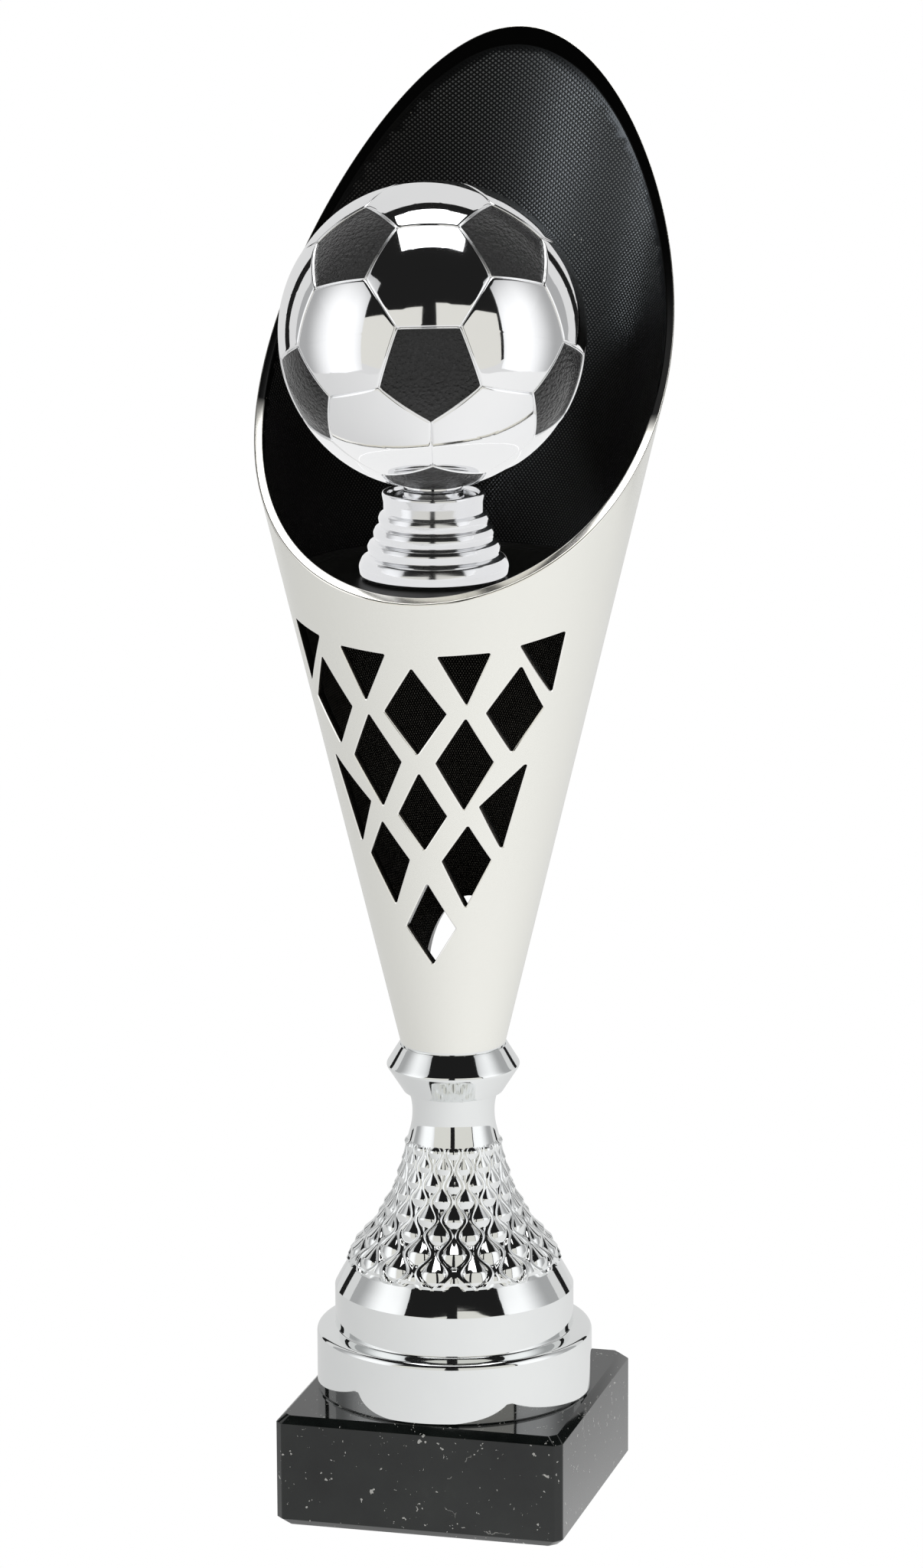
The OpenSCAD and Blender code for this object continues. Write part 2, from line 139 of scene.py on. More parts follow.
def addPiece(name, verts, faces, materials, replaced,
             faceMaterial=None, sharpAngle=40, normals=None, values=None):
    # faceMaterial: a material's number for each face. values: {attribute name: one number per vertex}
    data = bpy.data.meshes.new(name)
    data.from_pydata(toMetres(verts).tolist(), [], faces if isinstance(faces, list) else faces.tolist())
    data.shade_smooth()
    for material in materials:
        data.materials.append(material)
    if faceMaterial is not None:
        data.polygons.foreach_set("material_index", faceMaterial)
    for key, numbers in (values or {}).items():
        attribute = data.attributes.new(key, "FLOAT", "POINT")
        attribute.data.foreach_set("value", np.asarray(numbers, np.float32))
    if normals is not None:
        data.normals_split_custom_set_from_vertices(normals.tolist())
    else:
        data.set_sharp_from_angle(angle=math.radians(sharpAngle))
    piece = bpy.data.objects.new(name, data)
    bpy.context.scene.collection.objects.link(piece)
    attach(piece, "root")
    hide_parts(*replaced)


def weld(verts, faces, grain):
    # joins vertices that coincide and drops the faces that collapse. kept: the numbers of those left
    keys = np.round(np.asarray(verts) / grain).astype(np.int64)
    _, first, inverse = np.unique(keys, axis=0, return_index=True, return_inverse=True)
    inverse = inverse.ravel()
    clean = []
    kept = []
    for number, face in enumerate(faces):
        ring = []
        for i in face:
            j = int(inverse[i])
            if not ring or ring[-1] != j:
                ring.append(j)
        if len(ring) > 1 and ring[0] == ring[-1]:
            ring.pop()
        if len(ring) > 2:
            clean.append(ring)
            kept.append(number)
    return np.asarray(verts)[first], clean, kept


def gridFaces(rows, columns, wrap=True):
    i, j = np.meshgrid(np.arange(rows - 1), np.arange(columns if wrap else columns - 1), indexing="ij")
    nextJ = (j + 1) % columns
    ring = [i * columns + j, i * columns + nextJ, (i + 1) * columns + nextJ, (i + 1) * columns + j]
    return np.stack(ring, -1).reshape(-1, 4)


def aroundAxis(radius, angle, height):
    # angle in radians from the front
    return np.stack([radius * np.sin(angle), -radius * np.cos(angle), height + 0 * angle], -1)


def revolvePoints(profile, steps, turn=0.0):
    angle = turn + np.arange(steps) * 2 * math.pi / steps
    profile = np.asarray(profile, float)
    return aroundAxis(profile[:, :1], angle, profile[:, 1:]).reshape(-1, 3)


def cornerArc(back, here, ahead, rounding, most, segments, straight=math.pi):
    # rounds a corner by an arc. most: the share of either side it may take. straight: beyond it, no arc
    toBack, toAhead = back - here, ahead - here
    backLength, aheadLength = np.linalg.norm(toBack), np.linalg.norm(toAhead)
    toBack, toAhead = toBack / backLength, toAhead / aheadLength
    half = math.acos(max(-1, min(1, float(toBack @ toAhead)))) / 2
    if half > straight:
        return [here]
    reach = min(rounding / math.tan(half), most * backLength, most * aheadLength)
    radius = reach * math.tan(half)
    middle = toBack + toAhead
    centre = here + middle / np.linalg.norm(middle) * radius / math.sin(half)
    start, end = here + toBack * reach - centre, here + toAhead * reach - centre
    first = math.atan2(start[1], start[0])
    sweep = (math.atan2(end[1], end[0]) - first + math.pi) % (2 * math.pi) - math.pi
    angles = [first + sweep * s / segments for s in range(segments + 1)]
    return [centre + radius * np.array([math.cos(a), math.sin(a)]) for a in angles]


def rounded(corners, segments):
    # corners: (radius from the axis, height, rounding)
    places = np.array([corner[:2] for corner in corners], float)
    out = []
    for k, (_, _, rounding) in enumerate(corners):
        if k in (0, len(corners) - 1) or rounding <= 0:
            out.append(places[k])
        else:
            out += cornerArc(places[k - 1], places[k], places[k + 1], rounding, 0.49, segments)
    return np.array(out)


def curveThrough(points, steps):
    # Catmull-Rom line through the points
    p = np.array(points, float)
    p = np.vstack([2 * p[0] - p[1], p, 2 * p[-1] - p[-2]])
    out = []
    for before, a, b, after in zip(p[:-3], p[1:-2], p[2:-1], p[3:]):
        for t in np.arange(steps) / steps:
            bend = (2 * before - 5 * a + 4 * b - after) * t ** 2 + (3 * a - before - 3 * b + after) * t ** 3
            out.append(0.5 * (2 * a + (b - before) * t + bend))
    out.append(p[-2])
    return np.array(out)


def refine(profile, step):
    # splits long stretches of a profile
    out = [profile[0]]
    for a, b in zip(profile[:-1], profile[1:]):
        count = max(1, int(math.ceil(np.linalg.norm(b - a) / step)))
        for s in range(1, count + 1):
            out.append(a + (b - a) * s / count)
    return np.array(out)


# Node helpers. A value for a socket is a plain one, or a pair (node, output) that is linked to it.
def setInputs(tree, node, values):
    for key, value in values.items():
        if isinstance(value, tuple) and isinstance(value[0], bpy.types.Node):
            tree.links.new(value[0].outputs[value[1]], node.inputs[key])
        else:
            node.inputs[key].default_value = value


def addNode(tree, kind, values=None, **settings):
    node = tree.nodes.new(kind)
    for key, setting in settings.items():
        setattr(node, key, setting)
    setInputs(tree, node, values or {})
    return node


def newGroup(name, inputs, outputs):
    # inputs: {name: default number}
    group = bpy.data.node_groups.new(name, "ShaderNodeTree")
    for label, default in inputs.items():
        socket = group.interface.new_socket(name=label, in_out="INPUT", socket_type="NodeSocketFloat")
        socket.default_value = default
    for label in outputs:
        group.interface.new_socket(name=label, in_out="OUTPUT", socket_type="NodeSocketFloat")
    return group, group.nodes.new("NodeGroupInput"), group.nodes.new("NodeGroupOutput")


def emptyMaterial(name):
    material = bpy.data.materials.new(name)
    material.use_nodes = True
    material.node_tree.nodes.clear()
    return material, material.node_tree


def newMaterial(name):
    material, tree = emptyMaterial(name)
    shader = addNode(tree, "ShaderNodeBsdfPrincipled")
    addNode(tree, "ShaderNodeOutputMaterial", {"Surface": (shader, "BSDF")})
    return material, tree, shader


def useGroup(tree, group, **values):
    return addNode(tree, "ShaderNodeGroup", values, node_tree=group)


def mathNode(tree, operation, *values):
    return addNode(tree, "ShaderNodeMath", dict(enumerate(values)), operation=operation), "Value"


def vectorMath(tree, operation, *values):
    node = addNode(tree, "ShaderNodeVectorMath", dict(enumerate(values)), operation=operation)
    return node, "Value" if operation in ("LENGTH", "DOT_PRODUCT") else "Vector"


def objectPlace(tree):
    return addNode(tree, "ShaderNodeTexCoord"), "Object"


def voronoi(tree, feature, place, scale, **values):
    inputs = {"Vector": place, "Scale": scale, **values}
    return addNode(tree, "ShaderNodeTexVoronoi", inputs, feature=feature), "Distance"


def vertexValue(tree, name):
    return addNode(tree, "ShaderNodeAttribute", attribute_name=name), "Fac"


def noise(tree, place, scale, detail, roughness=0.5):
    inputs = {"Vector": place, "Scale": scale, "Detail": detail, "Roughness": roughness}
    return addNode(tree, "ShaderNodeTexNoise", inputs), "Fac"


def rampNode(tree, source, stops):
    node = addNode(tree, "ShaderNodeValToRGB", {"Fac": source})
    elements = node.color_ramp.elements
    elements.remove(elements[-1])
    elements[0].position = stops[0][0]
    for number, (position, colour) in enumerate(stops):
        element = elements.new(position) if number else elements[0]
        element.color = (*colour, 1)
    return node, "Color"


def bumpNode(tree, height, strength, distance):
    inputs = {"Height": height, "Strength": strength, "Distance": distance}
    return addNode(tree, "ShaderNodeBump", inputs), "Normal"


def mapRange(tree, source, toLow, toHigh, low=0, high=1, interpolation="LINEAR"):
    inputs = {"Value": source, "From Min": low, "From Max": high, "To Min": toLow, "To Max": toHigh}
    return addNode(tree, "ShaderNodeMapRange", inputs, interpolation_type=interpolation), "Result"


def mixColours(tree, factor, a, b):
    a, b = ((*colour, 1) if len(colour) == 3 else colour for colour in (a, b))
    return addNode(tree, "ShaderNodeMix", {0: factor, 6: a, 7: b}, data_type="RGBA"), 2


def grey(v):
    return (v, v, v)


# fine handling marks and dust: smears for the roughness, specks for the colour, a faint ripple for the bump
wearGroup, wearIn, wearOut = newGroup("fineWear", {"Scale": 400.0}, ("Smear", "Specks", "Ripple"))
place = objectPlace(wearGroup)
smears = rampNode(wearGroup, noise(wearGroup, place, 38.0, 5.0, 0.6), [(0.38, grey(0)), (0.72, grey(1))])
speckNear = mathNode(wearGroup, "LESS_THAN", voronoi(wearGroup, "F1", place, (wearIn, "Scale")), 0.09)
speckRare = mathNode(wearGroup, "GREATER_THAN", noise(wearGroup, place, 260.0, 2.0), 0.66)
setInputs(wearGroup, wearOut, {
    "Smear": smears, "Specks": mathNode(wearGroup, "MULTIPLY", speckNear, speckRare),
    "Ripple": noise(wearGroup, place, 120.0, 1.0)})


def metalMaterial(name, wearScale, rough, bright, dull, ripple=0.06):
    material, tree, shader = newMaterial(name)
    wear = useGroup(tree, wearGroup, Scale=wearScale)
    setInputs(tree, shader, {
        "Base Color": mixColours(tree, (wear, "Smear"), bright, dull), "Metallic": 1.0,
        "Roughness": mapRange(tree, (wear, "Smear"), *rough)})
    if ripple:
        setInputs(tree, shader, {"Normal": bumpNode(tree, (wear, "Ripple"), ripple, 0.0004)})
    return material


chrome = metalMaterial("chromedPlastic", 900.0, (0.03, 0.075), (0.945, 0.947, 0.95), (0.92, 0.925, 0.935))
footChrome = metalMaterial("chromedPedestal", 900.0, (0.035, 0.08), (0.87, 0.885, 0.88), (0.84, 0.855, 0.855))
standChrome = metalMaterial("chromedStand", 900.0, (0.11, 0.15), (0.84, 0.845, 0.86), (0.80, 0.805, 0.82))
zinc = metalMaterial("zincSteel", 800.0, (0.22, 0.38), (0.62, 0.64, 0.67), (0.50, 0.52, 0.56), ripple=0)

# metallised plastic with a fine flake
satin, tree, shader = newMaterial("satinMetallised")
wear = useGroup(tree, wearGroup, Scale=700.0)
flake = noise(tree, objectPlace(tree), 2600.0, 2.0, 0.7)
setInputs(tree, shader, {
    "Base Color": mixColours(tree, flake, (0.885, 0.882, 0.828), (0.96, 0.957, 0.908)), "Metallic": 1.0,
    "Roughness": mapRange(tree, (wear, "Smear"), 0.22, 0.27), "Normal": bumpNode(tree, flake, 0.10, 0.00006)})

# diamond knurl from distances around and along the surface
knurlInputs = {"Around": 0.0, "Along": 0.0, "Pitch": 1.3}
knurlGroup, knurlIn, knurlOut = newGroup("knurlPattern", knurlInputs, ("Height",))
waves = []
for operation in ("ADD", "SUBTRACT"):
    diagonal = mathNode(knurlGroup, operation, (knurlIn, "Around"), (knurlIn, "Along"))
    cell = mathNode(knurlGroup, "DIVIDE", diagonal, (knurlIn, "Pitch"))
    waves.append(mathNode(knurlGroup, "PINGPONG", cell, 0.5))
setInputs(knurlGroup, knurlOut, {"Height": mathNode(knurlGroup, "MINIMUM", *waves)})

# moulded black, knurled where the attribute "knurl" is 1. Its crests are painted lighter than its valleys as
# painted glints, the valleys stay near black as painted shade, and below the bowl's floor the crests are
# painted much lighter still as painted light
blackMoulded, tree, shader = newMaterial("blackMoulded")
wear = useGroup(tree, wearGroup, Scale=520.0)
around, along = vertexValue(tree, "around"), vertexValue(tree, "along")
pattern = useGroup(tree, knurlGroup, Around=around, Along=along, Pitch=1.25)
height = mathNode(tree, "MULTIPLY", (pattern, "Height"), vertexValue(tree, "knurl"))
crests = mapRange(tree, height, 0, 1, 0.16, 0.36)
axes = addNode(tree, "ShaderNodeSeparateXYZ", {"Vector": objectPlace(tree)})
# painted light: below the bowl's floor the crests get a much lighter tone. Painted glints on the crests,
# painted shade in the near-black valleys
paintedLightBelowFloor = mapRange(tree, (axes, "Z"), 1, 0, 0.2555, 0.2575)
paintedGlintTone = mixColours(tree, paintedLightBelowFloor, (0.045, 0.044, 0.041), (0.30, 0.285, 0.255))
ground = mixColours(tree, crests, grey(0.0008), paintedGlintTone)
setInputs(tree, shader, {
    "Base Color": mixColours(tree, (wear, "Specks"), ground, (0.16, 0.15, 0.13)), "Specular IOR Level": 0.07,
    "Roughness": mapRange(tree, crests, 0.34, 0.15), "Normal": bumpNode(tree, height, 1.0, 0.00034)})

blackGloss, tree, shader = newMaterial("blackGloss")
wear = useGroup(tree, wearGroup, Scale=420.0)
setInputs(tree, shader, {
    "Base Color": mixColours(tree, (wear, "Specks"), (0.013, 0.013, 0.012), (0.34, 0.33, 0.30)),
    "Specular IOR Level": 0.05, "Roughness": mapRange(tree, (wear, "Smear"), 0.30, 0.44),
    "Normal": bumpNode(tree, (wear, "Ripple"), 0.08, 0.0004)})

pebble, tree, shader = newMaterial("pebbledBlack")
place = objectPlace(tree)
cells = voronoi(tree, "SMOOTH_F1", place, 900.0, Randomness=0.95, Smoothness=0.35)
fine = noise(tree, place, 1900.0, 3.0)
# the cell tops are painted lighter than the hollows: painted glints on the grain
paintedGlintTops = mapRange(tree, cells, 1, 0, 0.12, 0.5)
pebbles = mathNode(tree, "MULTIPLY_ADD", cells, -1.0, fine)
setInputs(tree, shader, {
    "Base Color": mixColours(tree, paintedGlintTops, grey(0.0015), (0.013, 0.013, 0.014)), "Specular IOR Level": 0.55,
    "Roughness": mapRange(tree, fine, 0.12, 0.22, 0.3, 0.7), "Normal": bumpNode(tree, pebbles, 1.0, 0.0009)})

# flecks of polished marble: small chips and hairlines, their edges warped, over a cloudy ground
fleckGroup, fleckIn, fleckOut = newGroup("marbleFlecks", {"Size": 300.0}, ("Flecks", "Hairlines", "Clouds"))
place = objectPlace(fleckGroup)
warp, _ = noise(fleckGroup, place, 420.0, 3.0)
warped = vectorMath(fleckGroup, "MULTIPLY", (warp, "Color"), grey(0.0045))
moved = vectorMath(fleckGroup, "ADD", place, warped)
chips = voronoi(fleckGroup, "F1", moved, (fleckIn, "Size"))
chipSize = mapRange(fleckGroup, noise(fleckGroup, place, 330.0, 3.0), 0.0, 0.3, 0.48, 0.7)
veinNear = mathNode(fleckGroup, "LESS_THAN", voronoi(fleckGroup, "DISTANCE_TO_EDGE", moved, 62.0), 0.008)
veinRare = mathNode(fleckGroup, "GREATER_THAN", noise(fleckGroup, place, 95.0, 4.0), 0.62)
setInputs(fleckGroup, fleckOut, {
    "Flecks": mathNode(fleckGroup, "LESS_THAN", chips, chipSize),
    "Hairlines": mathNode(fleckGroup, "MULTIPLY", veinNear, veinRare),
    "Clouds": noise(fleckGroup, place, 55.0, 6.0, 0.65)})

marble, tree, shader = newMaterial("blackMarble")
flecks = useGroup(tree, fleckGroup, Size=640.0)
clouds = (flecks, "Clouds")
ground = rampNode(tree, clouds, [
    (0.30, (0.0035, 0.0045, 0.0045)), (0.62, (0.011, 0.0135, 0.0125)), (0.80, (0.024, 0.027, 0.025))])
veined = mixColours(tree, (flecks, "Hairlines"), ground, (0.20, 0.20, 0.19))
setInputs(tree, shader, {
    "Base Color": mixColours(tree, (flecks, "Flecks"), veined, (0.46, 0.46, 0.44)), "IOR": 1.5,
    "Roughness": mapRange(tree, clouds, 0.05, 0.11, 0.3, 0.8)})

# rim: silver outside and along the front, black on the inner part of its back
rimBead, tree, shader = newMaterial("rimBead")
wear = useGroup(tree, wearGroup, Scale=700.0)
behind = mapRange(tree, vertexValue(tree, "around"), 0, 1, 0.0, 0.12)
inward = mapRange(tree, vertexValue(tree, "depth"), 0, 1, 0.36, 0.42)
silver = mapRange(tree, mathNode(tree, "MULTIPLY", behind, inward), 1, 0)
setInputs(tree, shader, {
    "Base Color": mixColours(tree, silver, grey(0.002), (0.93, 0.915, 0.86)), "Metallic": silver,
    "Specular IOR Level": 0.08, "Roughness": mapRange(tree, (wear, "Smear"), 0.10, 0.16)})

# cut edge of a window: a bright bevel, then metallising that fades into the moulded black
windowEdge, tree, shader = newMaterial("windowEdge")
wear = useGroup(tree, wearGroup, Scale=700.0)
depth = vertexValue(tree, "depth")
coated = mapRange(tree, depth, 1, 0, 1.4, 2.4)
bright = mapRange(tree, depth, 1, 0, 0.40, 0.62)
dull = mixColours(tree, coated, grey(0.006), (0.060, 0.054, 0.047))
setInputs(tree, shader, {
    "Base Color": mixColours(tree, bright, dull, (0.95, 0.94, 0.90)), "Metallic": bright,
    "Roughness": mapRange(tree, (wear, "Smear"), 0.14, 0.20)})
print("materials made")

# marble block: corners and edges bevelled, with a round recess and a bore underneath
block = {
    "width": 80.0, "height": 31.0, "bevel": 2.0, "edge": 0.25,
    "recess": 12.0, "recessDepth": 9.0, "recessEdge": 0.4, "bore": 3.3, "recessSteps": 64,
}


def blockSection(inset):
    # the outline at one height, each of its corners softened by two points
    half = block["width"] / 2 - inset
    short = half - block["bevel"]
    line = []
    for sx, sy in ((1, -1), (1, 1), (-1, 1), (-1, -1)):
        corner = [(sx * half, sy * short), (sx * short, sy * half)]
        line += corner[::-1] if sx * sy < 0 else corner
    line = np.array(line, float)
    out = []
    for here, back, ahead in zip(line, np.roll(line, 1, 0), np.roll(line, -1, 0)):
        for target in (back, ahead):
            out.append(here + (target - here) / np.linalg.norm(target - here) * block["edge"])
    return np.array(out)


bevel, edge, blockTop = block["bevel"], block["edge"], block["height"]
levels = rounded([(bevel, 0, 0), (0, bevel, edge), (0, blockTop - bevel, edge), (bevel, blockTop, 0)], 3)
levels = np.vstack([[bevel + edge, 0], levels, [bevel + edge, blockTop]])
around = len(blockSection(0))
verts = [np.column_stack([blockSection(inset), np.full(around, height)]) for inset, height in levels]
verts = np.vstack(verts)
faces = gridFaces(len(levels), around).tolist()
faces.append(list(range(len(verts) - around, len(verts))))
recess, bore = block["recess"], block["bore"]
recessLine = rounded([(recess, 0, 0), (recess, block["recessDepth"], 0.4), (bore, block["recessDepth"], 0.2),
                      (bore, blockTop - 0.1, 0)], 3)
recessLine = np.vstack([[recess + block["recessEdge"], 0], [recess + 0.1, 0.15], recessLine[1:]])
recessSteps, recessStart = block["recessSteps"], len(verts)
verts = np.vstack([verts, revolvePoints(recessLine, recessSteps)])
faces += (gridFaces(len(recessLine), recessSteps)[:, ::-1] + recessStart).tolist()
# the underside, between the outline and the recess
lookup = list(range(around)) + list(range(recessStart, recessStart + recessSteps))
edges = [(k, (k + 1) % around) for k in range(around)]
edges += [(around + k, around + (k + 1) % recessSteps) for k in range(recessSteps)]
places = [Vector(verts[k][:2]) for k in lookup]
flat, _, triangles, origins, _, _ = delaunay_2d_cdt(places, edges, [], 0, 1e-6)
for triangle in triangles:
    middle = sum((flat[i] for i in triangle), Vector((0, 0))) / 3
    if middle.length > recess + 0.3:
        faces.append([lookup[origins[i][0]] for i in triangle][::-1])
addPiece("marbleBlock", verts, faces, [marble], ("marble_block",), sharpAngle=20)
print("marble block")

# pedestal: (radius, height) lines, with bulbs and wavy ridges raised on the flare
pedestal = {
    "columns": 30, "turn": 15.0, "perColumn": 30, "flareStep": 0.12, "lowerStep": 1.2, "upperStep": 1.0,
    "raised": 0.30, "raisedFrom": 1.2, "raisedOver": 0.5, "fadeTop": 0.9, "fadeRaised": 9.0, "fadeLow": 0.5,
}
relief = {
    "rowHeights": [99.9, 95.7, 91.1, 87.2, 82.5, 78.6, 74.1, 69.9],
    "halfWidths": [1.75, 1.8, 2.1, 2.2, 2.6, 2.75, 3.25, 3.4],
    "rise": 0.47, "neckRise": 0.22, "neckWidth": 0.28, "rampLength": 1.75, "lowCurve": 1.25,
    "ridge": 0.034, "ridgeWidth": 0.042, "ridgeSwing": 3.4, "ridgeSplit": 0.008,
    "topGap": 0.85, "topFrom": -0.8, "topTo": 0.9,
    "leafHalf": 3.2, "leafHigh": 2.6, "leafRise": 0.8, "leafDown": 0.3, "leafCurve": 0.75,
}
flareLine = refine(curveThrough([
    (28.9, 66.4), (27.5, 68.4), (24.2, 72.7), (20.8, 77.2), (18.2, 81.6), (16.1, 85.9), (14.55, 90.2),
    (13.4, 94.6), (12.75, 98.3), (12.45, 101.4)], 24), pedestal["flareStep"])
lowerLine = np.vstack([
    rounded([(31.0, 31.0, 0), (37.4, 31.0, 0.15), (37.6, 31.6, 0.3), (37.6, 48.1, 1.7), (32.6, 48.65, 0.55),
             (32.6, 59.75, 0.22), (32.25, 60.42, 0), (31.75, 61.4, 0)], 7)[:-1],
    curveThrough([(31.75, 61.4), (30.85, 63.05), (29.9, 64.7), (28.9, 66.4)], 8)])
upperLine = np.vstack([
    curveThrough([(12.45, 101.4), (12.1, 102.7), (11.6, 104.7), (11.3, 106.5), (11.18, 108.4), (11.22, 110.2),
                  (11.5, 112.2), (11.95, 113.8)], 6),
    rounded([(12.2, 114.35, 0), (13.55, 114.75, 0.3), (18.25, 122.05, 1.15), (14.62, 127.95, 0.25),
             (14.2, 127.95, 0), (14.2, 128.5, 0)], 8)])
flareLength = np.concatenate([[0], np.cumsum(np.linalg.norm(np.diff(flareLine, axis=0), axis=1))])
rowPosition = np.interp(relief["rowHeights"], flareLine[:, 1], flareLength)
rowGap = np.abs(np.gradient(rowPosition))
columnWidth = 360.0 / pedestal["columns"]


def easeStep(value, low, high):
    t = np.clip((value - low) / (high - low), 0, 1)
    return t * t * (3 - 2 * t)


def bulbHeight(delta, up, half, gap):
    # a bulb narrows upwards to a neck. delta and up are the distances from its middle.
    top = 2 * gap - relief["topGap"] * half
    low = np.clip(-up / half, 0, 1)
    ramp = np.clip(up / (relief["rampLength"] * half), 0, 1)
    neck = 1 - (1 - relief["neckWidth"]) * easeStep(ramp, 0, 1)
    width = half * np.where(up < 0, np.sqrt(1 - low ** 2), neck)
    height = np.where(up < 0, 1 - low ** relief["lowCurve"], 1 - (1 - relief["neckRise"]) * ramp)
    height = height * (1 - easeStep(up, top + relief["topFrom"], top + relief["topTo"]))
    across = np.sqrt(np.clip(1 - (delta / np.maximum(width, 0.01)) ** 2, 0, 1))
    return across * height * relief["rise"] * half


def reliefHeight(angle, radius, along):
    # angle: degrees from the pedestal's turn. along: the way up the flare.
    lift = np.zeros_like(angle)
    arc = math.pi / 180 * radius
    for shift in (-1, 0, 1):
        column = np.round(angle / columnWidth) + shift
        for row, (position, gap, half) in enumerate(zip(rowPosition, rowGap, relief["halfWidths"])):
            bulb = bulbHeight((angle - column * columnWidth) * arc, along - position, half, gap)
            lift = np.maximum(lift, bulb * (column % 2 == row % 2))
    # wavy ridges between neighbouring columns
    rowHere = np.interp(along, rowPosition[::-1], np.arange(len(rowPosition))[::-1])
    belowRows = len(rowPosition) - 1 + (rowPosition[-1] - along) / rowGap[-1]
    rowHere = np.where(along < rowPosition[-1], belowRows, rowHere)
    rowHere = np.where(along > rowPosition[0], (rowPosition[0] - along) / rowGap[0], rowHere)
    for shift in (-1, 0, 1):
        column = np.floor(angle / columnWidth) + shift
        swing = relief["ridgeSwing"] * np.where(column % 2 == 0, 1.0, -1.0) * np.cos(math.pi * rowHere)
        distance = (angle - (column + 0.5) * columnWidth - swing) * arc
        distance = np.abs(distance) - relief["ridgeSplit"] * radius
        ridge = np.exp(-(distance / (relief["ridgeWidth"] * radius)) ** 2)
        lift = np.maximum(lift, relief["ridge"] * radius * ridge)
    # flattened leaves between the lowest bulbs
    delta = (angle - np.round(angle / 2 / columnWidth) * 2 * columnWidth) * arc
    down = rowPosition[-1] - relief["leafDown"] - along
    leaf = np.clip(1 - (delta / relief["leafHalf"]) ** 2 - (down / relief["leafHigh"]) ** 2, 0, 1)
    return np.maximum(lift, leaf ** relief["leafCurve"] * relief["leafRise"])


steps = pedestal["columns"] * pedestal["perColumn"]
turn = math.radians(pedestal["turn"])
tangent = np.gradient(flareLine, axis=0)
tangent /= np.linalg.norm(tangent, axis=1)[:, None]
outward = np.column_stack([tangent[:, 1], -tangent[:, 0]])
columnAngle = np.arange(steps) * 360.0 / steps
angleGrid, alongGrid = np.meshgrid(columnAngle, flareLength)
toTop = flareLength[-1] - alongGrid
fade = np.clip(toTop / pedestal["fadeTop"], 0, 1) * np.clip(alongGrid / pedestal["fadeLow"], 0, 1)
raised = pedestal["raised"] * np.clip((alongGrid - pedestal["raisedFrom"]) / pedestal["raisedOver"], 0, 1)
lift = reliefHeight(angleGrid, np.repeat(flareLine[:, :1], steps, 1), alongGrid) * fade
lift += raised * np.clip(toTop / pedestal["fadeRaised"], 0, 1)
flared = flareLine[:, None] + outward[:, None] * lift[:, :, None]
reliefPoints = aroundAxis(flared[:, :, 0], turn + np.radians(columnAngle), flared[:, :, 1]).reshape(-1, 3)
verts = np.vstack([
    revolvePoints(refine(lowerLine, pedestal["lowerStep"]), steps, turn), reliefPoints[steps:-steps],
    revolvePoints(refine(upperLine, pedestal["upperStep"]), steps, turn)])
addPiece("pedestalMoulding", verts, gridFaces(len(verts) // steps, steps), [footChrome],
         ("pedestal",), sharpAngle=38)
print("pedestal")

# bowl: a cone cut by an arc, heights from its foot
bowl = {
    "foot": heightsOf("bowl")[0], "footRadius": 14.3, "innerFoot": 10.5,
    "slope": math.tan(math.radians(13.5)), "thinning": 2.3, "bottom": 4.0, "bore": 3.3,
    "rimLow": 129.5, "rimHigh": 266.3, "rimCurve": 430.0,
    "rimRound": 0.45, "windowRound": 0.35, "windowBevel": 0.42, "knurlRadius": 55.0, "rimSteps": 241,
    "sheetWide": 42.0, "sheetUp": 2.6, "sheetAround": 2.4, "sheetSides": 70, "sheetClear": 0.8,
    "plainBorder": 1.0, "borderFade": 0.4, "bottomSteps": 96,
}
bowl["innerSlope"] = bowl["slope"] + bowl["thinning"] / bowl["rimHigh"]


def outerRadius(h):
    return bowl["footRadius"] + h * bowl["slope"]


def innerRadius(h):
    return bowl["innerFoot"] + h * bowl["innerSlope"]


rimFront = np.array([-outerRadius(bowl["rimLow"]), bowl["rimLow"]])
rimBack = np.array([outerRadius(bowl["rimHigh"]), bowl["rimHigh"]])
rimChord = rimBack - rimFront
rimHalf = np.linalg.norm(rimChord) / 2
rimSide = np.array([-rimChord[1], rimChord[0]]) / (2 * rimHalf)
rimCentre = (rimFront + rimBack) / 2 + rimSide * math.sqrt(bowl["rimCurve"] ** 2 - rimHalf ** 2)


def rimHeight(theta, radiusAt):
    # the height where the cone meets the arc, found by going back and forth between them
    h = np.full_like(theta, 200.0)
    for _ in range(60):
        y = -radiusAt(h) * np.cos(theta)
        h = rimCentre[1] - np.sqrt(bowl["rimCurve"] ** 2 - (y - rimCentre[0]) ** 2)
    return h


def onCone(theta, h, radiusAt):
    return aroundAxis(radiusAt(h), theta, h + bowl["foot"])


def coneNormal(theta, slope, side):
    tilt = math.atan(slope)
    return side * aroundAxis(math.cos(tilt), theta, -math.sin(tilt))


# lattice of windows: degrees from the front and heights about the middle
lattice = {"middle": 98.9, "highest": 120.5}
latticeRows = [  # shift of the row, reach above and below it, half width, windows at
    (0, 12.7, 11.8, 12.8, (-41.4, 0, 41.4)),
    (-14.1, 12.9, 13.4, 12.8, (-20.5, 20.5)),
    (-29.2, 12.2, 10, 12.3, (0,)),
    (-42.3, 10.4, 13.6, 13.6, (-22.7, 22.7)),
    (-61.8, 13, 10.7, 16.9, (0,)),
]
latticeEdges = [  # corners of the triangles along the edges, each made on both sides
    ((9.7, 16.2), (29.1, 17), (20.7, 2.4)),
    ((40, 18.4), (59.2, 20.7), (57.5, 3.4)),
    ((27.9, -26.7), (50.7, -15), (42.2, -39.8)),
]
rearWindow = {"half": 10.5, "low": 5.0, "spring": 18.2, "rise": 17.4, "round": 0.8}


def windowCorner(angle, h):
    return (outerRadius(h) * math.sin(math.radians(angle)), h)


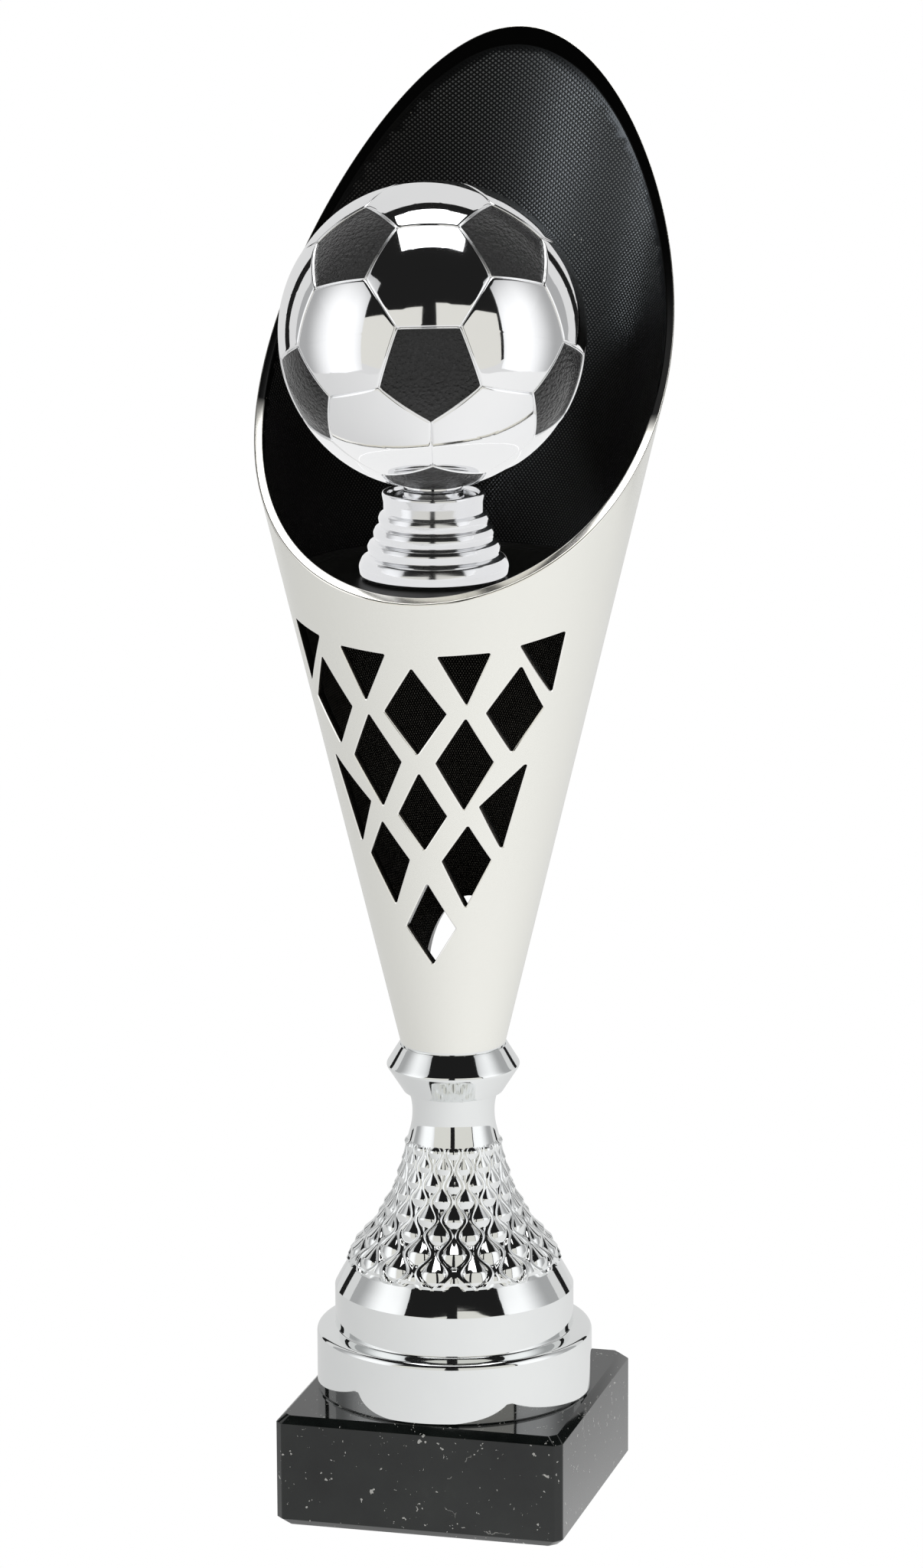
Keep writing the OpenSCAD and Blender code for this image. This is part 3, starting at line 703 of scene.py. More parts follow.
def roundOutline(corners, rounding, step=0.9, straight=math.radians(84)):
    # closed outline with rounded corners and short edges, counter-clockwise
    corners = np.array(corners, float)
    ahead = np.roll(corners, -1, 0)
    if np.sum(corners[:, 0] * ahead[:, 1] - ahead[:, 0] * corners[:, 1]) < 0:
        corners = corners[::-1]
    out = []
    for back, here, ahead in zip(np.roll(corners, 1, 0), corners, np.roll(corners, -1, 0)):
        out += cornerArc(back, here, ahead, rounding, 0.4, 5, straight)
    return refine(np.array(out + out[:1]), step)[:-1]


def offsetOutline(outline, distance):
    tangent = np.roll(outline, -1, 0) - np.roll(outline, 1, 0)
    tangent /= np.linalg.norm(tangent, axis=1)[:, None]
    return outline + distance * np.column_stack([tangent[:, 1], -tangent[:, 0]])


shapes = []
for shift, above, below, half, angles in latticeRows:
    middle = lattice["middle"] + shift
    for angle in angles:
        corners = ((angle, above), (angle + half, 0), (angle, -below), (angle - half, 0))
        shapes.append([windowCorner(a, middle + h) for a, h in corners])
for corners in latticeEdges:
    for side in (-1, 1):
        placed = [(side * a, min(lattice["middle"] + h, lattice["highest"])) for a, h in corners]
        shapes.append([windowCorner(a, h) for a, h in placed])
windows = [(roundOutline(corners, bowl["windowRound"]), -1) for corners in shapes]  # -1: cut in the front
half, arch = rearWindow["half"], np.linspace(0, math.pi, 37)
archLine = np.column_stack([half * np.cos(arch), rearWindow["spring"] + rearWindow["rise"] * np.sin(arch)])
rear = np.vstack([[-half, rearWindow["low"]], [half, rearWindow["low"]], archLine])
windows.append((roundOutline(rear, rearWindow["round"]), 1))


def windowAngles(outline, face, radiusAt):
    lean = np.arcsin(np.clip(outline[:, 0] / radiusAt(outline[:, 1]), -1, 1))
    return lean if face < 0 else -math.pi - lean


def insidePolygon(points, polygon):
    x, y = points[:, 0], points[:, 1]
    inside = np.zeros(len(points), bool)
    for (x0, y0), (x1, y1) in zip(polygon, np.roll(polygon, -1, 0)):
        crosses = (y0 > y) != (y1 > y)
        with np.errstate(divide="ignore", invalid="ignore"):
            at = (x1 - x0) * (y - y0) / (y1 - y0) + x0
        inside ^= crosses & (x < at)
    return inside


def nearPolygon(points, polygon, reach):
    near = np.zeros(len(points), bool)
    for a, b in zip(polygon, np.roll(polygon, -1, 0)):
        d = b - a
        t = np.clip(((points - a) @ d) / (d @ d + 1e-12), 0, 1)
        near |= np.linalg.norm(points - a - t[:, None] * d, axis=1) < reach
    return near


def aboutHole(points, hole, margin):
    return ((points > hole.min(axis=0) - margin) & (points < hole.max(axis=0) + margin)).all(axis=1)


rimAngles = np.radians(np.linspace(-270, 90, bowl["rimSteps"]))


def coneSheet(radiusAt, low, high, holes):
    # triangulated sheet in (angle, height): high is one height per rim angle, holes are closed outlines
    u = rimAngles * bowl["sheetWide"]
    side = np.linspace(low, high[0], bowl["sheetSides"])[1:-1]
    loop = np.vstack([
        np.column_stack([u, np.full_like(u, low)]), np.column_stack([np.full_like(side, u[-1]), side]),
        np.column_stack([u, high])[::-1], np.column_stack([np.full_like(side, u[0]), side[::-1]])])
    holeLoops = [np.column_stack([angle * bowl["sheetWide"], h]) for angle, h in holes]
    gapAround, gapUp = bowl["sheetAround"], bowl["sheetUp"]
    gridU, gridH = np.meshgrid(np.arange(u[0] + gapAround, u[-1] - gapAround / 2, gapAround),
                               np.arange(low + gapUp, bowl["rimHigh"], gapUp))
    inner = np.column_stack([gridU.ravel(), gridH.ravel()])
    inner = inner[inner[:, 1] < np.interp(inner[:, 0], u, high) - 1.0]
    for hole in holeLoops:
        box = aboutHole(inner, hole, 3)
        bad = np.zeros(len(inner), bool)
        bad[box] = insidePolygon(inner[box], hole) | nearPolygon(inner[box], hole, bowl["sheetClear"])
        inner = inner[~bad]
    edges = []
    start = 0
    for ring in [loop] + holeLoops:
        edges += [(start + k, start + (k + 1) % len(ring)) for k in range(len(ring))]
        start += len(ring)
    flat = np.vstack([loop] + holeLoops + [inner])
    flat, _, triangles, _, _, _ = delaunay_2d_cdt([Vector(p) for p in flat], edges, [], 0, 1e-7)
    flat, triangles = np.array([(v.x, v.y) for v in flat]), np.array(triangles)
    middle = flat[triangles].mean(1)
    keep = (middle[:, 1] < np.interp(middle[:, 0], u, high)) & (middle[:, 1] > low)
    for hole in holeLoops:
        box = keep & aboutHole(middle, hole, 0)
        keep[np.nonzero(box)[0][insidePolygon(middle[box], hole)]] = False
    return flat[:, 0] / bowl["sheetWide"], flat[:, 1], triangles[keep]


def vertexNormals(verts, faces):
    total = np.zeros_like(verts)
    for k in range(1, faces.shape[1] - 1):
        a, b, c = verts[faces[:, 0]], verts[faces[:, k]], verts[faces[:, k + 1]]
        n = np.cross(b - a, c - a)
        for corner in (faces[:, 0], faces[:, k], faces[:, k + 1]):
            np.add.at(total, corner, n)
    length = np.linalg.norm(total, axis=1)
    return total / np.maximum(length, 1e-12)[:, None]


# parts of the bowl: the outside, the lining, the rim and the cut edges, as numbers in bowlMaterials
bowlMaterials = [satin, blackMoulded, rimBead, windowEdge]
outside, lining, rimPart, cutEdge = range(4)
bowlParts = []


def collect(kind, verts, faces, normals, **values):
    zeros = np.zeros(len(verts))
    values = {key: values.get(key, zeros) for key in ("around", "along", "knurl", "depth")}
    bowlParts.append((kind, verts, faces, normals, values))


rimSlant = math.cos(math.atan(bowl["slope"]))
rimDrop = bowl["rimRound"] * rimSlant
rimOuter, rimInner = rimHeight(rimAngles, outerRadius), rimHeight(rimAngles, innerRadius)
bevel = bowl["windowBevel"]
outerHoles, innerHoles = [], []
for outline, face in windows:
    wide = offsetOutline(outline, bevel)
    outerHoles.append((windowAngles(wide, face, outerRadius), wide[:, 1]))
    innerHoles.append((windowAngles(outline, face, innerRadius), outline[:, 1]))
theta, h, triangles = coneSheet(outerRadius, 0.0, rimOuter - rimDrop, outerHoles)
collect(outside, onCone(theta, h, outerRadius), triangles, coneNormal(theta, bowl["slope"], 1))
theta, h, triangles = coneSheet(innerRadius, bowl["bottom"], rimInner - rimDrop, innerHoles)
belowRim = np.interp(theta, rimAngles, rimInner) - h
collect(lining, onCone(theta, h, innerRadius), triangles[:, ::-1], coneNormal(theta, bowl["innerSlope"], -1),
        around=theta * bowl["knurlRadius"], along=h,
        knurl=np.clip((belowRim - bowl["plainBorder"]) / bowl["borderFade"], 0, 1))

# rim: rounded outer corner, flat, rounded inner corner
outerEdge, innerEdge = onCone(rimAngles, rimOuter, outerRadius), onCone(rimAngles, rimInner, innerRadius)
down = -aroundAxis(bowl["slope"], rimAngles, 1.0) * rimSlant
across = innerEdge - outerEdge
across /= np.linalg.norm(across, axis=1)[:, None]
reach = bowl["rimRound"]
roundSteps = np.linspace(0, 1, 7)
rows = [outerEdge + down * reach * (1 - s) ** 2 + across * reach * s ** 2 for s in roundSteps]
rows.append((outerEdge + innerEdge) / 2)
rows += [innerEdge - across * reach * (1 - s) ** 2 + down * reach * s ** 2 for s in roundSteps]
verts = np.array(rows).reshape(-1, 3)
faces = gridFaces(len(rows), len(rimAngles), wrap=False)
normals = vertexNormals(verts, faces).reshape(len(rows), len(rimAngles), 3)
seam = normals[:, 0] + normals[:, -1]
normals[:, 0] = normals[:, -1] = seam / np.linalg.norm(seam, axis=1)[:, None]
collect(rimPart, verts, faces, normals.reshape(-1, 3), around=np.tile(-np.cos(rimAngles), len(rows)),
        depth=np.repeat(np.linspace(0, 1, len(rows)), len(rimAngles)))

# window edges: bevel, then straight through the wall along Y
for outline, face in windows:
    wide = offsetOutline(outline, bevel)
    yOut, yIn, yWide = (np.sqrt(radiusAt(line[:, 1]) ** 2 - line[:, 0] ** 2) for radiusAt, line in (
        (outerRadius, outline), (innerRadius, outline), (outerRadius, wide)))
    rows = [(wide, yWide, 0.0)]
    for s in (0.3, 0.7, 1.0):
        line = wide + (outline - wide) * (1 - (1 - s) ** 2) ** 0.5
        rows.append((line, yOut + (yWide - yOut) * (1 - s) - bevel * s ** 1.5, s * bevel))
    wall = yOut - bevel - yIn
    for share in (0.12, 0.3, 0.6, 1.0):
        rows.append((outline, yIn + wall * (1 - share), bevel + share * wall))
    foot = [0, 0, bowl["foot"]]
    verts = np.vstack([np.column_stack([line[:, 0], face * y, line[:, 1]]) + foot for line, y, _ in rows])
    depth = np.concatenate([np.broadcast_to(d, len(outline)) for _, _, d in rows])
    faces = gridFaces(len(rows), len(outline))
    if face > 0:
        faces = faces[:, ::-1]
    collect(cutEdge, verts, faces, vertexNormals(verts, faces), depth=depth)

# bottom of the bowl with its bore, seen from inside and from below
bottom, bore = bowl["bottom"], bowl["bore"]
bottomLine = [(innerRadius(bottom), bottom), (10.0, bottom), (bore, bottom)]
bottomLine += [(bore, 0), (8.0, 0), (bowl["footRadius"], 0)]
for line in zip(bottomLine[:-1], bottomLine[1:]):
    verts = revolvePoints([(r, z + bowl["foot"]) for r, z in line], bowl["bottomSteps"])
    faces = gridFaces(2, bowl["bottomSteps"])
    collect(lining, verts, faces, vertexNormals(verts, faces))

for name, kinds in (("bowlShell", (outside, cutEdge)), ("bowlLining", (lining,)), ("bowlRim", (rimPart,))):
    parts = [part for part in bowlParts if part[0] in kinds]
    faces, faceMaterial = [], []
    start = 0
    for kind, verts, partFaces, _, _ in parts:
        faces += (partFaces + start).tolist()
        faceMaterial += [kind] * len(partFaces)
        start += len(verts)
    values = {key: np.concatenate([part[4][key] for part in parts]) for key in parts[0][4]}
    verts, normals = (np.vstack([part[k] for part in parts]) for k in (1, 3))
    addPiece(name, verts, faces, bowlMaterials, ("bowl",), faceMaterial,
             normals=normals, values=values)
print("bowl")

# floor of the bowl, with a groove and a raised ring near its edge
floor = {"hole": 2.9, "groove": 0.25, "ring": 0.7, "play": 0.15, "steps": 160}
floorLow, ringTop = heightsOf("bowl_floor")
floorTop = ringTop - floor["ring"]
grooveLow = floorTop - floor["groove"]
floorEdge = innerRadius(floorTop - bowl["foot"]) - floor["play"]
floorLine = refine(rounded([
    (floor["hole"], floorLow, 0), (floor["hole"], floorTop, 0.1), (38.2, floorTop, 0.25),
    (38.35, grooveLow, 0.1), (38.6, grooveLow, 0.1), (38.75, floorTop, 0.25), (40.3, floorTop, 0.5),
    (40.9, ringTop, 0.35), (floorEdge + 0.12, ringTop, 0.3), (floorEdge - 0.75, floorLow, 0.2),
    (floor["hole"], floorLow, 0)], 4), 4.0)
faces = gridFaces(len(floorLine), floor["steps"])[:, ::-1]
addPiece("bowlFloor", revolvePoints(floorLine, floor["steps"]), faces, [blackGloss], ("bowl_floor",),
         sharpAngle=35)

# ball stand: (radius, height above its foot, rounding)
stand = {"x": -3.5, "y": -4.5, "foot": heightsOf("ball_stand")[0], "steps": 160}
standAxis = np.array([stand["x"], stand["y"], 0])
standLine = [
    (17.0, 0.0, 0), (18.9, 0.0, 0.3), (19.7, 1.1, 1.2), (20.0, 3.2, 2.5),
    (19.1, 5.4, 1.6), (17.3, 6.25, 0.25),
    (17.55, 7.5, 1.0), (17.7, 8.4, 1.0), (17.1, 9.6, 0.8), (15.8, 10.15, 0.2),
    (16.0, 11.3, 1.0), (16.1, 12.2, 1.0), (15.5, 13.5, 0.8), (14.4, 14.1, 0.2),
    (14.6, 15.1, 1.0), (14.75, 16.0, 1.0), (14.3, 17.2, 0.7), (13.3, 17.75, 0.25),
    (13.35, 20.2, 3.0), (13.75, 22.4, 1.0), (13.6, 23.0, 0.35), (12.4, 23.0, 0.3),
    (12.1, 21.75, 0.3), (8.2, 21.7, 0),
]
standLine = refine(rounded([(r, z + stand["foot"], rounding) for r, z, rounding in standLine], 7), 0.8)
faces = gridFaces(len(standLine), stand["steps"])
addPiece("ballStand", revolvePoints(standLine, stand["steps"]) + standAxis, faces, [standChrome],
         ("ball_stand",))
print("floor and stand")

# ball: twelve dark patches and twenty light panels about the corners of an icosahedron
ball = {
    "radius": 41.0, "spin": 0.95, "share": 0.338,
    "puff": 0.2, "seamDepth": 0.42, "seamWidth": 0.8, "bead": 0.52, "beadCurve": 0.8, "beadDrop": 0.04,
    "patchDrop": 0.26, "gapWidth": 0.05, "gapDepth": 0.12, "edgeSteps": 14, "footSteps": 64,
    "darkRows": [0, 0.07, 0.16, 0.26, 0.36, 0.44, 0.50, 0.54, 0.58, 0.66, 0.85, 1.2, 2.0, 3.2, 4.8, 6.8, 9.2],
    "lightRows": [0, 0.05, 0.14, 0.26, 0.40, 0.56, 0.74, 0.95, 1.25, 1.8, 2.8, 4.2, 6.0, 8.0, 10.2, 12.4],
}
footLow, ballTop = heightsOf("ball")
ballCentre = standAxis + [0, 0, ballTop - ball["radius"]]
polar = math.radians(63.4349)  # between neighbouring corners


def direction(degrees, tilt):
    angle = math.radians(degrees)
    return np.array([math.sin(tilt) * math.cos(angle), math.sin(tilt) * math.sin(angle), math.cos(tilt)])


corners = [np.array([0, 0, 1.0])] + [direction(-90 + 72 * k, polar) for k in range(5)]
corners += [direction(-54 + 72 * k, math.pi - polar) for k in range(5)] + [np.array([0, 0, -1.0])]
near = [[j for j in range(12) if j != i and float(corners[i] @ corners[j]) > 0.4] for i in range(12)]


def between(i, j):
    return corners[i] * (1 - ball["share"]) + corners[j] * ball["share"]


def ringAbout(axis, points):
    first = np.cross(axis, [0.3, 0.5, 0.8])
    first /= np.linalg.norm(first)
    second = np.cross(axis, first)
    ordered = sorted(points, key=lambda p: math.atan2(p @ second, p @ first))
    return [p / np.linalg.norm(p) for p in ordered]


panels = [(corners[i], ringAbout(corners[i], [between(i, j) for j in near[i]]), True) for i in range(12)]
for i in range(12):
    for j in near[i]:
        for k in near[i]:
            if i < j < k and k in near[j]:
                middle = corners[i] + corners[j] + corners[k]
                middle /= np.linalg.norm(middle)
                pairs = ((i, j), (j, i), (j, k), (k, j), (k, i), (i, k))
                panels.append((middle, ringAbout(middle, [between(a, b) for a, b in pairs]), False))


def panelLift(offset, apothem, dark):
    # how far a panel's surface stands above the ball's, by the distance from the seam
    if not dark:
        x = np.clip(1 - offset / ball["seamWidth"], 0, 1)
        puff = ball["puff"] * (1 - (1 - offset / apothem) ** 2)
        return puff - ball["seamDepth"] * (1 - np.sqrt(1 - x ** 2))
    x = np.clip(1 - offset / (ball["bead"] / 2), -1, 1)
    bead = -ball["seamDepth"] * ball["beadCurve"] * (1 - np.sqrt(1 - x ** 2)) - ball["beadDrop"]
    patch = -ball["patchDrop"] * (1 - np.clip((offset - ball["bead"]) / (apothem - ball["bead"]), 0, 1)) ** 2
    patch = np.where(offset < ball["bead"] + ball["gapWidth"], -ball["patchDrop"] - ball["gapDepth"], patch)
    return np.where(offset <= ball["bead"], bead, patch)


# the middle of the front patch, from its image point, turns and leans the ball
outward = (onSurface("frontPatch", "ball") - Vector(toMetres(ballCentre))).normalized()
ballTurn, ballLean = math.atan2(outward.x, -outward.y), -math.asin(outward.z)
print("ball turned and leaning by", *(round(math.degrees(a), 2) for a in (ballTurn, ballLean)), "degrees")
turnBall = np.array(Matrix.Rotation(ballTurn, 3, "Z") @ Matrix.Rotation(math.pi / 2 + ballLean, 3, "X")
                    @ Matrix.Rotation(math.radians(ball["spin"]), 3, "Z"))
verts, faces, faceMaterial = [], [], []
columns = ball["edgeSteps"] + 1
t = np.linspace(0, 1, columns)[:, None]
start = 0
for middle, ring, dark in panels:
    halfway = ring[0] + ring[1]
    apothem = ball["radius"] * math.acos(float(middle @ halfway / np.linalg.norm(halfway)))
    offsets = np.array((ball["darkRows"] if dark else ball["lightRows"]) + [apothem])
    heights = ball["radius"] - ball["puff"] + panelLift(offsets, apothem, dark)
    for a, b in zip(ring, ring[1:] + ring[:1]):
        edge = a * (1 - t) + b * t
        edge /= np.linalg.norm(edge, axis=1)[:, None]
        flatEdge = edge / (edge @ middle)[:, None]
        points = middle + (flatEdge - middle) * (1 - offsets / apothem)[:, None, None]
        points *= heights[:, None, None] / np.linalg.norm(points, axis=2)[:, :, None]
        grid = gridFaces(len(offsets), columns, wrap=False)
        verts.append(points.reshape(-1, 3))
        faces += (grid + start).tolist()
        faceMaterial += [int(dark and offsets[row] >= ball["bead"]) for row in grid[:, 0] // columns]
        start += len(verts[-1])
verts, faces, kept = weld(np.vstack(verts), faces, 2e-4)
faceMaterial = [faceMaterial[k] for k in kept]
# every face looks outward
a, b, c = (verts[[face[k] for face in faces]] for k in range(3))
facing = np.einsum("ij,ij->i", np.cross(b - a, c - a), a)
faces = [face if facing[k] > 0 else face[::-1] for k, face in enumerate(faces)]
footLine = [(2.6, footLow), (7.7, footLow), (8.0, footLow + 0.3), (8.0, footLow + 3.2)]
footFaces = gridFaces(len(footLine), ball["footSteps"]) + len(verts)
footPoints = revolvePoints(footLine, ball["footSteps"]) + standAxis
verts = np.vstack([verts @ turnBall.T + ballCentre, footPoints])
addPiece("ballShell", verts, faces + footFaces.tolist(), [chrome, pebble], ("ball", "ball_patches"),
         faceMaterial + [0] * len(footFaces), sharpAngle=50)
print("ball")

# tie rod with its thread, and the plain fasteners
rod = {
    "radius": 3.0, "endRadius": 2.35, "crest": 0.02, "depth": 0.48, "pitch": 1.0, "flank": 2.5, "flat": 0.12,
    "chamfer": 0.7, "turnRows": 6, "sides": 36,
}
rodLow, rodHigh = heightsOf("tie_rod")
heights = np.linspace(rodLow, rodHigh, int((rodHigh - rodLow) / rod["pitch"] * rod["turnRows"]))[:, None]
angle = np.arange(rod["sides"]) * 2 * math.pi / rod["sides"]
phase = (heights / rod["pitch"] - angle / (2 * math.pi)) % 1.0
groove = np.clip(np.abs(phase - 0.5) * rod["flank"] - rod["flat"], 0, 1)
toEnd = np.clip(np.minimum(heights - rodLow, rodHigh - heights) / rod["chamfer"], 0, 1)
chamfer = rod["endRadius"] + (rod["radius"] - rod["endRadius"]) * toEnd
radius = np.minimum(rod["radius"] - rod["crest"] - rod["depth"] * groove, chamfer)
verts = aroundAxis(radius, angle, heights).reshape(-1, 3)
faces = gridFaces(len(heights), rod["sides"]).tolist()
faces += [list(range(rod["sides"]))[::-1], list(range(len(verts) - rod["sides"], len(verts)))]
addPiece("threadedRod", verts, faces, [zinc], ("tie_rod",))
for name in ("base_washer", "base_nut", "bowl_washer", "bowl_nut", "screw_washer", "ball_screw"):
    part = bpy.data.objects[name]
    part.data.materials.clear()
    part.data.materials.append(zinc)
print("rod and fasteners")


# stage: panels, walls and softboxes that glow, placed in metres by the way they lie from the camera
def glowMaterial(name, colour, strength=1.0, clear=False):
    # clear: what stands behind the glow still shows through it
    material, tree = emptyMaterial(name)
    glow = addNode(tree, "ShaderNodeEmission", {"Color": (*colour, 1), "Strength": strength})
    surface = (glow, "Emission")
    if clear:
        through = addNode(tree, "ShaderNodeBsdfTransparent")
        surface = (addNode(tree, "ShaderNodeAddShader", {0: surface, 1: (through, "BSDF")}), "Shader")
    addNode(tree, "ShaderNodeOutputMaterial", {"Surface": surface})
    return material, tree, glow


def stageMesh(name, points, material, faces=None):
    data = bpy.data.meshes.new(name)
    data.from_pydata([tuple(p) for p in points], [], faces or [tuple(range(len(points)))])
    data.materials.append(material)
    sheet = bpy.data.objects.new(name, data)
    bpy.context.scene.collection.objects.link(sheet)
    sheet.visible_camera = False
    sheet.visible_shadow = False
    return sheet


def standing(name, turn, distance, left, right, low, high, material):
    # panel across the direction that lies `turn` degrees to the right of the camera
    out, side = headings(camera["azimuth"] + turn)
    middle = stageCentre + out * distance
    corners = ((left, low), (right, low), (right, high), (left, high))
    points = [middle + side * across + upright * height for across, height in corners]
    return stageMesh(name, points, material)


def lying(name, front, back, half, height, material):
    # level panel from front to back as the camera sees them
    corners = ((front, -half), (front, half), (back, half), (back, -half))
    middle = stageCentre + upright * height
    points = [middle + towardCamera * along + cameraRight * across for along, across in corners]
    stageMesh(name, points, material)


def lightsOnly(sheet, names):
    # of all pieces, only these see the sheet
    receivers = bpy.data.collections.new(sheet.name + "Receivers")
    for name in names:
        receivers.objects.link(bpy.data.objects[name])
    sheet.light_linking.receiver_collection = receivers


panel = {
    "distance": 1.4, "low": -0.2, "colour": (0.755, 0.745, 0.70),
    "left": (-2.05, -0.197, 1.074), "right": (0.073, 1.67, 1.165),  # its left, right and upper edges
}
walls = {
    "colour": grey(0.013), "distance": 1.62, "half": 2.4, "low": -0.2, "high": 2.2,
    "ceiling": 1.56, "ceilingBack": -0.78,
}
overhead = {"front": 0.27, "back": -0.51, "half": 0.44, "below": 0.04, "strength": 2.6}
softbox = {
    "azimuth": 85.0, "distance": 1.0, "half": 0.65, "low": -0.06, "high": 1.32, "colour": (0.985, 0.99, 1.0),
    "edge": 0.42, "hot": 1.15, "hotHeight": 0.4, "spread": (0.12, 0.72), "drop": (0.18, 1.2),
}
gap = {"azimuth": 135.5, "distance": 1.2, "half": 0.095, "low": -0.2, "high": 1.3}  # behind the softboxes


def softboxMaterial(name, turn, hotTurn):
    # brightest at hotTurn and below hotHeight, and falling off from there by the place on the panel
    material, tree, glow = glowMaterial(name, softbox["colour"])
    span = softbox["distance"] / math.cos(math.radians(hotTurn - turn))
    hotPoint = stageCentre + headings(camera["azimuth"] + hotTurn)[0] * span
    place = objectPlace(tree)
    away = vectorMath(tree, "ADD", place, tuple(-hotPoint))
    aside = vectorMath(tree, "LENGTH", vectorMath(tree, "MULTIPLY", away, (1, 1, 0)))
    axes = addNode(tree, "ShaderNodeSeparateXYZ", {"Vector": place})
    over = mathNode(tree, "MAXIMUM", mathNode(tree, "SUBTRACT", (axes, "Z"), softbox["hotHeight"]), 0.0)
    sideFall = mapRange(tree, aside, 1, 0, *softbox["spread"], interpolation="SMOOTHSTEP")
    upFall = mapRange(tree, over, 1, 0, *softbox["drop"], interpolation="SMOOTHSTEP")
    both = mathNode(tree, "MULTIPLY", sideFall, upFall)
    setInputs(tree, glow, {"Strength": mapRange(tree, both, softbox["edge"], softbox["hot"])})
    return material


cream, _, _ = glowMaterial("panelCream", panel["colour"])
dark, _, _ = glowMaterial("panelDark", walls["colour"])
overheadGlow, _, _ = glowMaterial("overheadGlow", (1, 1, 1), overhead["strength"])
for side in ("left", "right"):
    left, right, high = panel[side]
    standing("frontPanel" + side.title(), 0, panel["distance"], left, right, panel["low"], high, cream)
standing("frontWall", 0, walls["distance"], -walls["half"], walls["half"], walls["low"], walls["high"], dark)
lying("ceiling", walls["distance"], walls["ceilingBack"], walls["half"], walls["ceiling"], dark)
lying("overheadSoftbox", overhead["front"], overhead["back"], overhead["half"],
      walls["ceiling"] - overhead["below"], overheadGlow)
for side, sign, hotTurn in (("Left", -1, -70), ("Right", 1, 66)):
    turn = sign * softbox["azimuth"]
    glow = softboxMaterial("softbox" + side, turn, hotTurn)
    standing("sideSoftbox" + side, turn, softbox["distance"], -softbox["half"], softbox["half"],
             softbox["low"], softbox["high"], glow)
    standing("gap" + side, sign * gap["azimuth"], gap["distance"], -gap["half"], gap["half"],
             gap["low"], gap["high"], dark)

# the photograph's ball and stand mirror the white table where the black bowl stands round them
card = {
    "glow": 0.9, "reach": 158, "bend": 112, "fall": 1.1, "high": 190.0, "lift": 0.9, "disc": 0.95,
    "toRim": 0.2, "toWall": 0.4, "discToWall": 0.3, "rows": 8, "columns": 61, "discSteps": 120,
}
cardMaterial, _, _ = glowMaterial("bowlCard", grey(card["glow"]), clear=True)
cardAngle = np.radians(np.linspace(-card["reach"], card["reach"], card["columns"]))
cardLow = floorTop + card["lift"] - bowl["foot"]
cardHigh = card["high"] - card["fall"] * np.clip(np.abs(np.degrees(cardAngle)) - card["bend"], 0, None)
cardHigh = np.minimum(rimHeight(cardAngle, innerRadius) - card["toRim"], cardHigh)
cardHeights = cardLow + (cardHigh - cardLow) * np.linspace(0, 1, card["rows"])[:, None]
cardPoints = onCone(cardAngle, cardHeights, lambda h: innerRadius(h) - card["toWall"]).reshape(-1, 3)
discRadius = innerRadius(cardLow) - card["discToWall"]
discPoints = revolvePoints([(discRadius, floorTop + card["disc"])], card["discSteps"])
cardFaces = gridFaces(card["rows"], card["columns"], wrap=False).tolist()
cardFaces.append(list(range(len(cardPoints), len(cardPoints) + len(discPoints))))
cardPoints = toMetres(np.vstack([cardPoints, discPoints]))
bowlCard = stageMesh("bowlCard", cardPoints, cardMaterial, cardFaces)
bowlCard.visible_diffuse = False
lightsOnly(bowlCard, ("ballShell", "ballStand"))

# strip that only the bowl's lining mirrors: the cold band on its right side
sheen = {
    "turn": -84, "distance": 0.95, "half": 0.15, "low": 0.05, "high": 1.15,
    "colour": (0.84, 0.92, 1.0), "strength": 44.0,
}
sheenMaterial, _, _ = glowMaterial("sheenStrip", sheen["colour"], sheen["strength"], clear=True)
strip = standing("sheenStrip", sheen["turn"], sheen["distance"], -sheen["half"], sheen["half"],
                 sheen["low"], sheen["high"], sheenMaterial)
lightsOnly(strip, ("bowlLining",))

# the room is white to the camera and a little darker to the object
roomGlow = 0.73
world = bpy.data.worlds.new("studio")
bpy.context.scene.world = world
world.use_nodes = True
tree = world.node_tree
tree.nodes.clear()
room = mapRange(tree, (addNode(tree, "ShaderNodeLightPath"), "Is Camera Ray"), roomGlow, 1.0)
background = addNode(tree, "ShaderNodeBackground", {"Color": (1, 1, 1, 1), "Strength": room})
addNode(tree, "ShaderNodeOutputWorld", {"Surface": (background, "Background")})

# the table is a little darker to the left of the trophy and behind it
table = {"radius": 0.885, "drop": 0.0002, "sides": 96, "glow": 0.79, "toRight": 0.09, "toFront": 0.08}
tableTop, tree, glow = glowMaterial("tableTop", (1, 1, 1))
heading = vectorMath(tree, "NORMALIZE", vectorMath(tree, "ADD", objectPlace(tree), tuple(-stageCentre)))
lean = cameraRight * table["toRight"] + towardCamera * table["toFront"]
lit = mathNode(tree, "ADD", vectorMath(tree, "DOT_PRODUCT", heading, tuple(lean)), table["glow"])
seen = mapRange(tree, (addNode(tree, "ShaderNodeLightPath"), "Is Camera Ray"), lit, 1.0)
setInputs(tree, glow, {"Strength": seen})
circle = revolvePoints([(table["radius"], -table["drop"])], table["sides"]) + axisPoint
stageMesh("table", circle, tableTop).visible_camera = True
print("stage")

